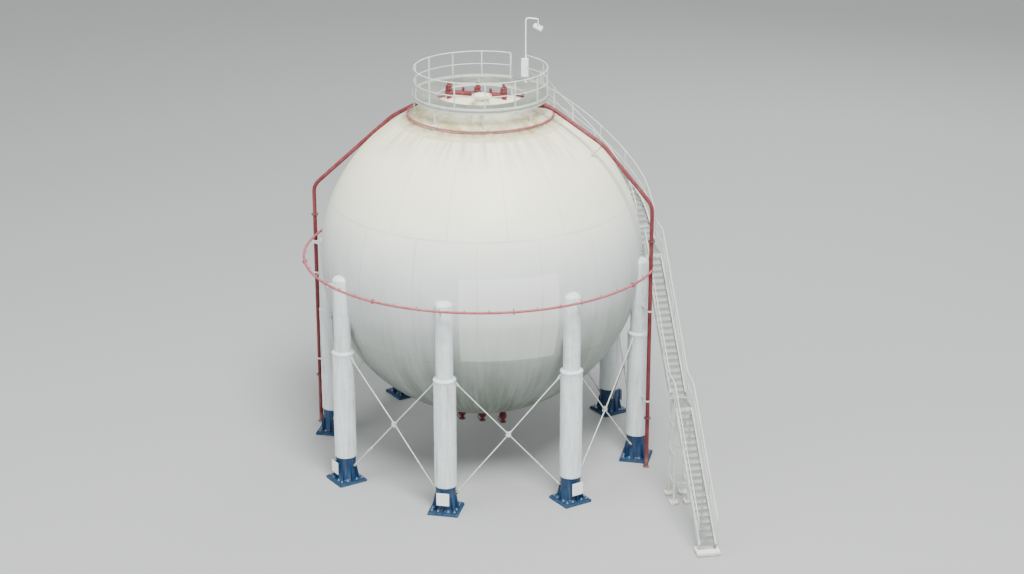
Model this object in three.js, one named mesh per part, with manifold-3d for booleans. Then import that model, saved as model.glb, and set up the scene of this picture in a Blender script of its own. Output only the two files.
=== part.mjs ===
// Spherical gas tank on eight columns, with its stair, top platform and spray pipes.
// Millimetres, +Z up. Angles are in degrees round the tank's axis: 0 points along -Y, 90 along +X.
import * as THREE from 'three';
import { mergeVertices } from 'three/addons/utils/BufferGeometryUtils.js';
import Module from 'manifold-3d';

const wasm = await Module();
wasm.setup();

// Clearance between pieces that touch
const SEAT = 0.3;

// Shell
const SHELL_RADIUS = 6700;
const SHELL_WALL = 32;
const CENTRE_HEIGHT = 8710;
const SHELL_SIDES = 40;
const LATITUDE_STEP = 9.4;
const CROWN_LATITUDE = 60;
const EQUATOR_LATITUDE = 22.5;
const SHELL_TOP = CENTRE_HEIGHT + SHELL_RADIUS;

// Columns and their bases
const COLUMN_COUNT = 8;
const BAY_ANGLE = 360 / COLUMN_COUNT;
const COLUMN_SIDES = 12;
const PIPE_RADIUS = 350;
const FIREPROOF_RADIUS = 450;
const COLLAR_RADIUS = 490;
const COLLAR_HEIGHT = 5740;
const COLLAR_DEPTH = 100;
const CAP_RISE = 300;
const BASE_HEIGHT = 1130;
const STUB_RADIUS = 410;
const PLINTH_WIDTH = 1250;
const PLINTH_HEIGHT = 110;
const BASE_PLATE_WIDTH = 1130;
const BASE_PLATE_TOP = 150;
const GUSSET_COUNT = 8;
const GUSSET_THICKNESS = 25;
const GUSSET_TOP = 720;
const GUSSET_REACH = 550;

// Cross bracing, set out between the axes of two columns
const BAY_WIDTH = 2 * SHELL_RADIUS * Math.sin(THREE.MathUtils.degToRad(BAY_ANGLE / 2));
const BRACE_HIGH = 6000;
const BRACE_LOW = 250;
const BRACE_RADIUS = 24;
const BRACE_SIDES = 6;
const LUG_REACH = 800;
const LUG_TIP = 55;
const LUG_ROOT = 180;
const LUG_THICKNESS = 25;

// Spray pipes and risers
const RING_RADIUS = 7417;
const RING_HEIGHT = CENTRE_HEIGHT + 110;
const RING_PIPE = 57;
const RING_FROM = 131;
const TOP_RING_RADIUS = 3000;
const TOP_RING_HEIGHT = CENTRE_HEIGHT + 6110;
const TOP_RING_PIPE = 38;
const TOP_RING_SIDES = 6;
const RISER_PIPE = 84;
const RISER_SIDES = 10;
const FLANGE_RADIUS = 150;
const FLANGE_DEPTH = 28;
const RIGHT_RISER = { radius: 7330, angle: 83.2, bend: CENTRE_HEIGHT + 2850 };
const LEFT_RISER = { radius: 7582.34, angle: -97, bend: CENTRE_HEIGHT + 2220 };

// Top platform
const DECK_TOP = CENTRE_HEIGHT + 6900;
const DECK_THICKNESS = 50;
const DECK_RADIUS = 2800;
const DECK_HOLE = 1850;
const DECK_SIDES = 24;
const TOE_HEIGHT = 100;
const TOE_THICKNESS = 10;
const BEAM_DEPTH = 110;
const BEAM_WIDTH = 70;
const LEG_COUNT = 8;
const RAIL_HEIGHT = 1120;
const RAIL_RADIUS = 22;
const RAIL_SIDES = 4;
const POST_SIZE = 50;
const RAILING_RADIUS = 2725;
const RAILING_POSTS = 14;
const RAILING_STEPS = 26;

// Stair: a straight run beside the tank, then a curved one over the shell
const STAIR_ANGLE = 111;
const STAIR_INNER = 6750;
const STAIR_WIDTH = 700;
const STAIR_OUTER = STAIR_INNER + STAIR_WIDTH;
const STAIR_CENTRE = STAIR_INNER + STAIR_WIDTH / 2;
const STRINGER_THICKNESS = 15;
const STRINGER_ABOVE = 50;
const STRINGER_BELOW = 260;
const TREAD_THICKNESS = 35;
const TREAD_NOSING = 25;
const FOOT_BLOCK = { length: 620, width: 920, height: 180 };
const LOWER_FLIGHT = { from: -11700, to: -7200, low: FOOT_BLOCK.height, high: 4250, risers: 22 };
const UPPER_FLIGHT = { from: -6200, to: -1150, low: LOWER_FLIGHT.high, high: 8700, risers: 23 };
const TOP_LANDING_END = 200;
const HANDRAIL_HEIGHT = 1050;
const POST_SPACING = 1400;
const CURVED_RISERS = 37;
const CURVED_CLEARANCE = 180;
const CURVED_OVERLAP = 60;

const tank = new THREE.Group();

// Finishes
const shellPaint = { color: 0xe9e8dc, roughness: 0.45, metalness: 0 };
const columnPaint = { color: 0xe2e4de, roughness: 0.6, metalness: 0 };
const basePaint = { color: 0x0f4c8f, roughness: 0.5, metalness: 0 };
const firePaint = { color: 0x8e2a35, roughness: 0.55, metalness: 0 };
const fadedPaint = { color: 0xa85560, roughness: 0.7, metalness: 0 };
const railPaint = { color: 0xd4d8ce, roughness: 0.5, metalness: 0.1 };
const deckPaint = { color: 0xaeb4ad, roughness: 0.7, metalness: 0.2 };
const concrete = { color: 0xdcdcd6, roughness: 0.9, metalness: 0 };

// Geometry helpers

function radians(degrees) {
  return THREE.MathUtils.degToRad(degrees);
}

// Point at a radius and an angle round the tank's axis
function polar(radius, angle, z) {
  return new THREE.Vector3(radius * Math.sin(radians(angle)), -radius * Math.cos(radians(angle)), z);
}

// Position-only geometry with shared corners, no empty triangles, and its faces pointing out
function closed(geometry) {
  const bare = new THREE.BufferGeometry();
  bare.setAttribute('position', geometry.getAttribute('position').clone());
  if (geometry.index) {
    bare.setIndex(geometry.index.clone());
  }
  const merged = mergeVertices(bare, 1e-3);
  const source = merged.index.array;
  const kept = [];
  for (let i = 0; i < source.length; i += 3) {
    const [a, b, c] = [source[i], source[i + 1], source[i + 2]];
    if (a !== b && b !== c && c !== a) {
      kept.push(a, b, c);
    }
  }
  merged.setIndex(kept);
  return signedVolume(merged) < 0 ? flipped(merged) : merged;
}

function signedVolume(geometry) {
  const position = geometry.getAttribute('position');
  const [a, b, c] = [new THREE.Vector3(), new THREE.Vector3(), new THREE.Vector3()];
  const index = geometry.index.array;
  let volume = 0;
  for (let i = 0; i < index.length; i += 3) {
    a.fromBufferAttribute(position, index[i]);
    b.fromBufferAttribute(position, index[i + 1]);
    c.fromBufferAttribute(position, index[i + 2]);
    volume += a.dot(b.cross(c)) / 6;
  }
  return volume;
}

function flipped(geometry) {
  const index = Array.from(geometry.index.array);
  for (let i = 0; i < index.length; i += 3) {
    [index[i], index[i + 1]] = [index[i + 1], index[i]];
  }
  geometry.setIndex(index);
  return geometry;
}

// Solid for joining and cutting
function solid(geometry) {
  const shape = closed(geometry);
  return new wasm.Manifold(new wasm.Mesh({
    numProp: 3,
    vertProperties: new Float32Array(shape.getAttribute('position').array),
    triVerts: new Uint32Array(shape.index.array),
  }));
}

function join(solids) {
  return solids.reduce((whole, next) => whole.add(next));
}

function geometryOf(body) {
  const mesh = body.getMesh();
  const geometry = new THREE.BufferGeometry();
  geometry.setAttribute('position', new THREE.BufferAttribute(new Float32Array(mesh.vertProperties), 3));
  geometry.setIndex(Array.from(mesh.triVerts));
  geometry.computeVertexNormals();
  return geometry;
}

// One named piece of the tank
function addPiece(name, shape, finish, parent = tank) {
  const geometry = shape.isBufferGeometry ? closed(shape) : geometryOf(shape);
  const mesh = new THREE.Mesh(geometry, new THREE.MeshStandardMaterial(finish));
  mesh.name = name;
  parent.add(mesh);
  return mesh;
}

// Body of revolution about +Z from [radius, height] pairs, anticlockwise
function lathe(profile, sides) {
  const geometry = new THREE.LatheGeometry(profile.map(([r, h]) => new THREE.Vector2(r, h)), sides);
  return geometry.rotateX(Math.PI / 2);
}

function box(min, max) {
  const size = max.clone().sub(min);
  const centre = min.clone().add(max).multiplyScalar(0.5);
  return new THREE.BoxGeometry(size.x, size.y, size.z).translate(centre.x, centre.y, centre.z);
}

// Box from two corners given as numbers
function block(x0, x1, y0, y1, z0, z1) {
  return box(new THREE.Vector3(x0, y0, z0), new THREE.Vector3(x1, y1, z1));
}

// Straight round bar between two points
function bar(from, to, radius, sides = RAIL_SIDES) {
  const along = to.clone().sub(from);
  const geometry = new THREE.CylinderGeometry(radius, radius, along.length(), sides);
  const turn = new THREE.Quaternion().setFromUnitVectors(new THREE.Vector3(0, 1, 0), along.clone().normalize());
  const middle = from.clone().add(to).multiplyScalar(0.5);
  return geometry.applyQuaternion(turn).translate(middle.x, middle.y, middle.z);
}

// Curve through given points with one section at each, mitred between its neighbours
class Route extends THREE.Curve {
  constructor(points) {
    super();
    this.points = points;
  }

  getPoint(t, target = new THREE.Vector3()) {
    const place = t * (this.points.length - 1);
    const index = Math.min(Math.floor(place + 1e-6), this.points.length - 2);
    return target.lerpVectors(this.points[index], this.points[index + 1], place - index);
  }

  getTangent(t, target = new THREE.Vector3()) {
    const index = Math.round(t * (this.points.length - 1));
    target.set(0, 0, 0);
    if (index > 0) {
      target.add(this.points[index].clone().sub(this.points[index - 1]).normalize());
    }
    if (index < this.points.length - 1) {
      target.add(this.points[index + 1].clone().sub(this.points[index]).normalize());
    }
    return target.normalize();
  }

  getPointAt(t, target) {
    return this.getPoint(t, target);
  }

  getTangentAt(t, target) {
    return this.getTangent(t, target);
  }
}

// Route whose section stays upright: its first axis level across the route, its second straight up
class UprightRoute extends Route {
  computeFrenetFrames(segments) {
    const up = new THREE.Vector3(0, 0, 1);
    const tangents = [];
    const normals = [];
    const binormals = [];
    for (let i = 0; i <= segments; i += 1) {
      const tangent = this.getTangent(i / segments);
      tangents.push(tangent);
      normals.push(new THREE.Vector3(tangent.y, -tangent.x, 0).normalize());
      binormals.push(up.clone());
    }
    return { tangents, normals, binormals };
  }
}

function tube(points, radius, sides = RAIL_SIDES) {
  const corners = [];
  for (let i = 0; i < sides; i += 1) {
    const turn = (2 * Math.PI * i) / sides;
    corners.push(new THREE.Vector2(radius * Math.cos(turn), radius * Math.sin(turn)));
  }
  const steps = points.length - 1;
  return new THREE.ExtrudeGeometry(new THREE.Shape(corners), { steps, extrudePath: new Route(points) });
}

// Corner of a pipe run, rounded with an arc of the given number of steps
function elbow(before, corner, after, reach, steps = 3) {
  const start = corner.clone().add(before.clone().sub(corner).setLength(reach));
  const end = corner.clone().add(after.clone().sub(corner).setLength(reach));
  return new THREE.QuadraticBezierCurve3(start, corner, end).getPoints(steps);
}

function arc(radius, z, from, to, steps) {
  const points = [];
  for (let i = 0; i <= steps; i += 1) {
    points.push(polar(radius, from + ((to - from) * i) / steps, z));
  }
  return points;
}

// Flat plate of an outline of [along, up] pairs, standing in a vertical plane through two points
function plate(outline, from, to, thickness) {
  const shape = new THREE.Shape(outline.map(([u, v]) => new THREE.Vector2(u, v)));
  const geometry = new THREE.ExtrudeGeometry(shape, { depth: thickness, bevelEnabled: false });
  const along = new THREE.Vector3(to.x - from.x, to.y - from.y, 0).normalize();
  const up = new THREE.Vector3(0, 0, 1);
  const across = along.clone().cross(up);
  const frame = new THREE.Matrix4().makeBasis(along, up, across).setPosition(from.x, from.y, 0);
  return geometry.translate(0, 0, -thickness / 2).applyMatrix4(frame);
}

// Shell

// Profile point of the sphere, [radius, height], at a latitude
function spherePoint(radius, latitude) {
  return [
    Math.max(radius * Math.cos(radians(latitude)), 0),
    CENTRE_HEIGHT + radius * Math.sin(radians(latitude)),
  ];
}

function latitudeArc(radius, from, to) {
  const steps = Math.max(1, Math.round(Math.abs(to - from) / LATITUDE_STEP));
  const points = [];
  for (let i = 0; i <= steps; i += 1) {
    points.push(spherePoint(radius, from + ((to - from) * i) / steps));
  }
  return points;
}

// Whole ball, a seat larger than the shell, that cuts what stands on the shell
function shellEnvelope() {
  const seams = [-90, -CROWN_LATITUDE, -EQUATOR_LATITUDE, EQUATOR_LATITUDE, CROWN_LATITUDE, 90];
  const profile = [[0, CENTRE_HEIGHT - SHELL_RADIUS - SEAT]];
  for (let i = 0; i < seams.length - 1; i += 1) {
    profile.push(...latitudeArc(SHELL_RADIUS + SEAT, seams[i], seams[i + 1]).slice(1));
  }
  profile[profile.length - 1][0] = 0;
  return solid(lathe(profile, SHELL_SIDES));
}

function shellCourse(low, high) {
  const edge = THREE.MathUtils.radToDeg(SEAT / 2 / SHELL_RADIUS);
  const outer = latitudeArc(SHELL_RADIUS, low + edge, high - edge);
  const inner = latitudeArc(SHELL_RADIUS - SHELL_WALL, high - edge, low + edge);
  return lathe([...outer, ...inner, outer[0]], SHELL_SIDES);
}

function shellCrown(side, latitude) {
  const edge = THREE.MathUtils.radToDeg(SEAT / 2 / SHELL_RADIUS);
  const limit = side * (latitude + edge);
  const outer = latitudeArc(SHELL_RADIUS, limit, side * 90);
  const inner = latitudeArc(SHELL_RADIUS - SHELL_WALL, side * 90, limit);
  outer[outer.length - 1][0] = 0;
  inner[0][0] = 0;
  const profile = [...inner, ...outer];
  return lathe(side > 0 ? profile : profile.reverse(), SHELL_SIDES);
}

const envelope = shellEnvelope();

addPiece('shell_bottom_crown', shellCrown(-1, CROWN_LATITUDE), shellPaint);
addPiece('shell_lower_course', shellCourse(-CROWN_LATITUDE, -EQUATOR_LATITUDE), shellPaint);
addPiece('shell_equator_course', shellCourse(-EQUATOR_LATITUDE, EQUATOR_LATITUDE), shellPaint);
addPiece('shell_upper_course', shellCourse(EQUATOR_LATITUDE, CROWN_LATITUDE), shellPaint);
addPiece('shell_top_crown', shellCrown(1, CROWN_LATITUDE), shellPaint);

// Columns, bases and cross bracing; the first column stands at angle 0

const columnAxis = polar(SHELL_RADIUS, 0, 0);
const nextAxis = polar(SHELL_RADIUS, BAY_ANGLE, 0);
const lastAxis = polar(SHELL_RADIUS, -BAY_ANGLE, 0);

// Brace line seen in the bay: from high on one column's axis to low on the other's
const braceLine = new THREE.Vector2(BAY_WIDTH, BRACE_LOW - BRACE_HIGH).normalize();

// Lug for one brace end, from a column's axis at the given height
function braceLug(height, direction, towards) {
  const tip = [direction.x * LUG_REACH, height + direction.y * LUG_REACH];
  const side = [-direction.y * LUG_TIP, direction.x * LUG_TIP];
  const outline = [
    [0, height - LUG_ROOT],
    [tip[0] - side[0], tip[1] - side[1]],
    [tip[0] + side[0], tip[1] + side[1]],
    [0, height + LUG_ROOT],
  ];
  return solid(plate(outline, columnAxis, towards, LUG_THICKNESS));
}

function columnShaft(growth = 0) {
  const top = CENTRE_HEIGHT + CAP_RISE;
  const profile = [
    [0, BASE_HEIGHT],
    [FIREPROOF_RADIUS + growth, BASE_HEIGHT],
    [FIREPROOF_RADIUS + growth, COLLAR_HEIGHT - COLLAR_DEPTH],
    [COLLAR_RADIUS + growth, COLLAR_HEIGHT - COLLAR_DEPTH / 2],
    [COLLAR_RADIUS + growth, COLLAR_HEIGHT],
    [PIPE_RADIUS + growth, COLLAR_HEIGHT + COLLAR_DEPTH / 2],
    [PIPE_RADIUS + growth, top - CAP_RISE * 0.6],
    [PIPE_RADIUS * 0.86 + growth, top - CAP_RISE * 0.25],
    [PIPE_RADIUS * 0.5 + growth, top - CAP_RISE * 0.05],
    [0, top],
  ];
  return solid(lathe(profile, COLUMN_SIDES).translate(columnAxis.x, columnAxis.y, 0));
}

// Arm under the spray ring, from the column's outer side
function ringArm() {
  const top = RING_HEIGHT - RING_PIPE - SEAT;
  const outer = -(RING_RADIUS + RING_PIPE);
  const inner = -(SHELL_RADIUS + PIPE_RADIUS - 50);
  return solid(block(-30, 30, outer, inner, top - 80, top));
}

function column(carriesRing) {
  const parts = [
    columnShaft(),
    braceLug(BRACE_HIGH, braceLine, nextAxis),
    braceLug(BRACE_HIGH, braceLine, lastAxis),
  ];
  if (carriesRing) {
    parts.push(ringArm());
  }
  return join(parts).subtract(envelope);
}

function columnBase() {
  const half = PLINTH_WIDTH / 2;
  const plateHalf = BASE_PLATE_WIDTH / 2;
  const { x, y } = columnAxis;
  const stub = new THREE.CylinderGeometry(STUB_RADIUS, STUB_RADIUS, BASE_HEIGHT - SEAT, COLUMN_SIDES)
    .rotateX(Math.PI / 2)
    .translate(x, y, (BASE_HEIGHT - SEAT) / 2);
  const parts = [
    solid(block(x - half, x + half, y - half, y + half, 0, PLINTH_HEIGHT)),
    solid(block(x - plateHalf, x + plateHalf, y - plateHalf, y + plateHalf, 0, BASE_PLATE_TOP)),
    solid(stub),
  ];
  const outline = [
    [STUB_RADIUS - 60, PLINTH_HEIGHT],
    [GUSSET_REACH, PLINTH_HEIGHT],
    [GUSSET_REACH, BASE_PLATE_TOP + 80],
    [STUB_RADIUS + 20, GUSSET_TOP],
    [STUB_RADIUS - 60, GUSSET_TOP],
  ];
  for (let i = 0; i < GUSSET_COUNT; i += 1) {
    const end = columnAxis.clone().add(polar(GUSSET_REACH, (360 * i) / GUSSET_COUNT, 0));
    parts.push(solid(plate(outline, columnAxis, end, GUSSET_THICKNESS)));
  }
  const rising = new THREE.Vector2(braceLine.x, -braceLine.y);
  parts.push(braceLug(BRACE_LOW, rising, nextAxis), braceLug(BRACE_LOW, rising, lastAxis));
  return join(parts);
}

function crossBrace() {
  const place = (u, z) => columnAxis.clone().lerp(nextAxis, u / BAY_WIDTH).setZ(z);
  const reach = LUG_REACH + SEAT;
  const run = braceLine.x * reach;
  const fall = braceLine.y * reach;
  return join([
    solid(bar(place(run, BRACE_HIGH + fall), place(BAY_WIDTH - run, BRACE_LOW - fall), BRACE_RADIUS, BRACE_SIDES)),
    solid(bar(place(BAY_WIDTH - run, BRACE_HIGH + fall), place(run, BRACE_LOW - fall), BRACE_RADIUS, BRACE_SIDES)),
  ]);
}

const RISER_COLUMN = 3;
const baseShape = geometryOf(columnBase());
const braceShape = geometryOf(crossBrace());
const ringColumnShape = geometryOf(column(true));
const bareColumnShape = geometryOf(column(false));
for (let i = 1; i <= COLUMN_COUNT; i += 1) {
  const turn = radians((i - 1) * BAY_ANGLE);
  const shape = i === RISER_COLUMN ? bareColumnShape : ringColumnShape;
  addPiece(`column_${i}`, shape, columnPaint).rotation.z = turn;
  addPiece(`column_base_${i}`, baseShape, basePaint).rotation.z = turn;
  addPiece(`cross_brace_${i}`, braceShape, railPaint).rotation.z = turn;
}

// Spray risers: up from the ground, then slanting over the shell to the platform

function riserPipe(riser, upper, radius) {
  const foot = polar(riser.radius, riser.angle, 0);
  const bend = polar(riser.radius, riser.angle, riser.bend);
  const points = [foot, ...elbow(foot, bend, upper[0], 300)];
  for (let i = 0; i < upper.length - 1; i += 1) {
    const before = i === 0 ? bend : upper[i - 1];
    points.push(...elbow(before, upper[i], upper[i + 1], 200));
  }
  points.push(upper[upper.length - 1]);
  return solid(tube(points, radius, RISER_SIDES));
}

// Flange round a vertical pipe
function flangeAt(centre, radius = FLANGE_RADIUS, depth = FLANGE_DEPTH) {
  const disc = new THREE.CylinderGeometry(radius, radius, depth, COLUMN_SIDES).rotateX(Math.PI / 2);
  return solid(disc.translate(centre.x, centre.y, centre.z + depth / 2));
}

// Bracket from a riser to a column, cut to the column's side
function columnBracket(riser, columnAngle, height, columnCut) {
  const start = polar(riser.radius, riser.angle, height);
  const end = polar(SHELL_RADIUS, columnAngle, height);
  return solid(bar(start, end, 35)).subtract(columnCut);
}

// Stand-off from a riser to the shell, cut to the shell
function shellStandoff(from) {
  const centre = new THREE.Vector3(0, 0, CENTRE_HEIGHT);
  const inside = from.clone().sub(centre).setLength(SHELL_RADIUS - 40).add(centre);
  return solid(bar(from, inside, 35)).subtract(envelope);
}

const rightColumnCut = columnShaft(SEAT).rotate([0, 0, 2 * BAY_ANGLE]);
const leftColumnCut = columnShaft(SEAT).rotate([0, 0, -2 * BAY_ANGLE]);

const rightUpper = [
  polar(5230, RIGHT_RISER.angle, CENTRE_HEIGHT + 5200),
  polar(2950, RIGHT_RISER.angle, CENTRE_HEIGHT + 6600),
  polar(1800, RIGHT_RISER.angle, CENTRE_HEIGHT + 6600),
];
const leftUpper = [
  polar(5300, -107, CENTRE_HEIGHT + 4480),
  polar(4400, -110, CENTRE_HEIGHT + 5330),
  polar(TOP_RING_RADIUS + 20, -112, TOP_RING_HEIGHT),
];

function rightRiser() {
  const foot = polar(RIGHT_RISER.radius, RIGHT_RISER.angle, 0);
  const joint = polar(RIGHT_RISER.radius, RIGHT_RISER.angle, CENTRE_HEIGHT + 1300);
  return join([
    riserPipe(RIGHT_RISER, rightUpper, RISER_PIPE),
    flangeAt(foot),
    flangeAt(joint),
    columnBracket(RIGHT_RISER, 90, 3000, rightColumnCut),
    columnBracket(RIGHT_RISER, 90, 7000, rightColumnCut),
    shellStandoff(rightUpper[0]),
  ]);
}

function leftRiser() {
  const foot = polar(LEFT_RISER.radius, LEFT_RISER.angle, 0);
  return join([
    riserPipe(LEFT_RISER, leftUpper, RISER_PIPE),
    flangeAt(foot),
    columnBracket(LEFT_RISER, -90, 3000, leftColumnCut),
    columnBracket(LEFT_RISER, -90, 7000, leftColumnCut),
    shellStandoff(leftUpper[0]),
  ]).subtract(topRingPipe(SEAT));
}

function topRingPipe(growth = 0) {
  const profile = [];
  for (let i = 0; i <= TOP_RING_SIDES; i += 1) {
    const turn = (2 * Math.PI * i) / TOP_RING_SIDES;
    const radius = TOP_RING_PIPE + growth;
    profile.push([TOP_RING_RADIUS + radius * Math.cos(turn), TOP_RING_HEIGHT + radius * Math.sin(turn)]);
  }
  return solid(lathe(profile, DECK_SIDES));
}

function topSprayRing() {
  const parts = [topRingPipe()];
  for (let i = 0; i < 8; i += 1) {
    parts.push(shellStandoff(polar(TOP_RING_RADIUS, 45 * i + 20, TOP_RING_HEIGHT)));
  }
  return join(parts);
}

// The ring main runs from behind the stair round to the right riser
function sprayRingMain() {
  const pipe = solid(tube(arc(RING_RADIUS, RING_HEIGHT, RING_FROM, 360 + RIGHT_RISER.angle, 48), RING_PIPE, 6));
  return pipe.subtract(riserPipe(RIGHT_RISER, rightUpper, RISER_PIPE + SEAT));
}

addPiece('spray_ring_main', sprayRingMain(), fadedPaint);
addPiece('spray_ring_top', topSprayRing(), fadedPaint);
addPiece('riser_right', rightRiser(), firePaint);
addPiece('riser_left', leftRiser(), firePaint);

// Curved stair route: level steps of equal going that follow the shell, then run in to the platform

// Least distance from the tank's axis to the stair's middle at a tread's height.
// Half the stair's width counts less towards the top, where the stair turns to run straight in.
function followRadius(z) {
  const up = z - CENTRE_HEIGHT;
  const ball = SHELL_RADIUS + CURVED_CLEARANCE;
  const turned = Math.max(1 - (up / SHELL_RADIUS) ** 2, 0) ** 1.5;
  return Math.sqrt(Math.max(ball * ball - up * up, 0)) + (STAIR_WIDTH / 2) * turned;
}

function curvedRoute(going) {
  const rise = (DECK_TOP - UPPER_FLIGHT.high) / CURVED_RISERS;
  const start = TOP_LANDING_END - CURVED_OVERLAP;
  let angle = STAIR_ANGLE + THREE.MathUtils.radToDeg(Math.atan2(start, STAIR_CENTRE));
  let radius = Math.hypot(start, STAIR_CENTRE);
  const points = [polar(radius, angle, UPPER_FLIGHT.high + rise)];
  for (let i = 1; i < CURVED_RISERS; i += 1) {
    const z = UPPER_FLIGHT.high + rise * (i + 1);
    const inward = THREE.MathUtils.clamp(radius - followRadius(z - rise), 0, going);
    const along = Math.sqrt(going * going - inward * inward);
    angle += THREE.MathUtils.radToDeg(along / radius);
    radius -= inward;
    points.push(polar(radius, angle, z));
  }
  return { points, radius, angle };
}

// Going, found by halving, that brings the last riser to the platform's edge
function solveGoing() {
  let low = 180;
  let high = 260;
  for (let i = 0; i < 30; i += 1) {
    const middle = (low + high) / 2;
    if (curvedRoute(middle).radius > DECK_RADIUS + SEAT) {
      low = middle;
    } else {
      high = middle;
    }
  }
  return high;
}

const curved = curvedRoute(solveGoing());
const ARRIVAL_ANGLE = curved.angle;

// Top platform

function supportFrame() {
  const top = DECK_TOP - DECK_THICKNESS - SEAT;
  const ring = (outer) => solid(lathe([
    [outer - BEAM_WIDTH, top - BEAM_DEPTH],
    [outer, top - BEAM_DEPTH],
    [outer, top],
    [outer - BEAM_WIDTH, top],
    [outer - BEAM_WIDTH, top - BEAM_DEPTH],
  ], DECK_SIDES));
  const parts = [ring(DECK_RADIUS - 40), ring(DECK_HOLE + BEAM_WIDTH + 20)];
  const joist = block(-40, 40, -(DECK_RADIUS - 75), -(DECK_HOLE + 55), top - BEAM_DEPTH + 15, top - 15);
  const outerLeg = block(-30, 30, -(DECK_RADIUS - 50), -(DECK_RADIUS - 100), top - 900, top - 30);
  const innerLeg = block(-30, 30, -(DECK_HOLE + 80), -(DECK_HOLE + 30), top - 600, top - 30);
  for (const shape of [joist, outerLeg, innerLeg]) {
    for (let i = 0; i < LEG_COUNT; i += 1) {
      parts.push(solid(shape.clone().rotateZ(radians((360 * i) / LEG_COUNT + 15))));
    }
  }
  return join(parts).subtract(envelope);
}

function platformDeck() {
  const bottom = DECK_TOP - DECK_THICKNESS;
  return solid(lathe([
    [DECK_HOLE, bottom],
    [DECK_RADIUS, bottom],
    [DECK_RADIUS, DECK_TOP],
    [DECK_HOLE, DECK_TOP],
    [DECK_HOLE, bottom],
  ], DECK_SIDES));
}

function platformToeBoard() {
  const base = DECK_TOP + SEAT;
  const board = solid(lathe([
    [DECK_RADIUS - TOE_THICKNESS, base],
    [DECK_RADIUS, base],
    [DECK_RADIUS, DECK_TOP + TOE_HEIGHT],
    [DECK_RADIUS - TOE_THICKNESS, DECK_TOP + TOE_HEIGHT],
    [DECK_RADIUS - TOE_THICKNESS, base],
  ], DECK_SIDES));
  const half = STAIR_WIDTH / 2 + 20;
  const entry = block(-half, half, -(DECK_RADIUS + 20), -(DECK_RADIUS - 60), DECK_TOP, DECK_TOP + 2 * TOE_HEIGHT);
  return board.subtract(solid(entry.rotateZ(radians(ARRIVAL_ANGLE))));
}

function platformRailing() {
  const base = DECK_TOP + SEAT;
  const opening = THREE.MathUtils.radToDeg((STAIR_WIDTH / 2 + 60) / RAILING_RADIUS);
  const from = ARRIVAL_ANGLE + opening;
  const to = ARRIVAL_ANGLE + 360 - opening;
  const top = DECK_TOP + RAIL_HEIGHT;
  const middle = DECK_TOP + RAIL_HEIGHT / 2;
  const parts = [
    solid(tube(arc(RAILING_RADIUS, top, from, to, RAILING_STEPS), RAIL_RADIUS)),
    solid(tube(arc(RAILING_RADIUS, middle, from, to, RAILING_STEPS), RAIL_RADIUS * 0.8)),
  ];
  const half = POST_SIZE / 2;
  for (let i = 0; i < RAILING_POSTS; i += 1) {
    const angle = from + ((to - from) * i) / (RAILING_POSTS - 1);
    const post = block(-half, half, -RAILING_RADIUS - half, -RAILING_RADIUS + half, base, top);
    parts.push(solid(post.rotateZ(radians(angle))));
  }
  return join(parts);
}

addPiece('platform_support', supportFrame(), railPaint);
addPiece('platform_deck', platformDeck(), deckPaint);
addPiece('platform_toe_board', platformToeBoard(), railPaint);
addPiece('platform_railing', platformRailing(), railPaint);

// Fittings on the top crown

const MANWAY = { radius: 1000, angle: 15, neck: 305, flange: 400, height: 430, cover: 60 };

function manway() {
  const centre = polar(MANWAY.radius, MANWAY.angle, 0);
  const base = SHELL_TOP - 200;
  const top = SHELL_TOP + MANWAY.height;
  const profile = [
    [0, base],
    [MANWAY.neck, base],
    [MANWAY.neck, top - 2 * MANWAY.cover],
    [MANWAY.flange, top - 2 * MANWAY.cover],
    [MANWAY.flange, top],
    [0, top],
  ];
  return solid(lathe(profile, 20).translate(centre.x, centre.y, 0)).subtract(envelope);
}

const VALVE_PLACES = [-1400, -200, 900];
const VALVE_ROW = 250;
const HEADER_HEIGHT = SHELL_TOP + 110;
const HEADER_RADIUS = 100;

// One spring relief valve, upright on the header, as a profile round its own axis
function valveProfile() {
  const z = HEADER_HEIGHT;
  return [
    [0, z],
    [80, z],
    [80, z + 120],
    [150, z + 120],
    [150, z + 155],
    [125, z + 170],
    [135, z + 270],
    [135, z + 300],
    [80, z + 315],
    [65, z + 440],
    [40, z + 470],
    [0, z + 470],
  ];
}

function reliefValves() {
  const row = (x, z) => new THREE.Vector3(x, VALVE_ROW, z);
  const last = VALVE_PLACES.length - 1;
  const ends = [row(VALVE_PLACES[0] - 150, HEADER_HEIGHT), row(VALVE_PLACES[last] + 150, HEADER_HEIGHT)];
  const parts = [solid(bar(ends[0], ends[1], HEADER_RADIUS, 12))];
  for (const x of VALVE_PLACES) {
    parts.push(solid(lathe(valveProfile(), 12).translate(x, VALVE_ROW, 0)));
    const outlet = row(x, HEADER_HEIGHT + 215);
    parts.push(solid(bar(outlet, outlet.clone().add(new THREE.Vector3(0, 300, 0)), 60, 10)));
  }
  for (const x of [VALVE_PLACES[0], VALVE_PLACES[last]]) {
    parts.push(solid(bar(row(x + 20, SHELL_TOP - 400), row(x + 20, HEADER_HEIGHT), 112, 12)));
  }
  return join(parts).subtract(envelope);
}

const LAMP = { radius: 2600, angle: ARRIVAL_ANGLE - 10, height: 2750, pole: 38, arm: 520, drop: 330, tilt: 25 };

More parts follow.
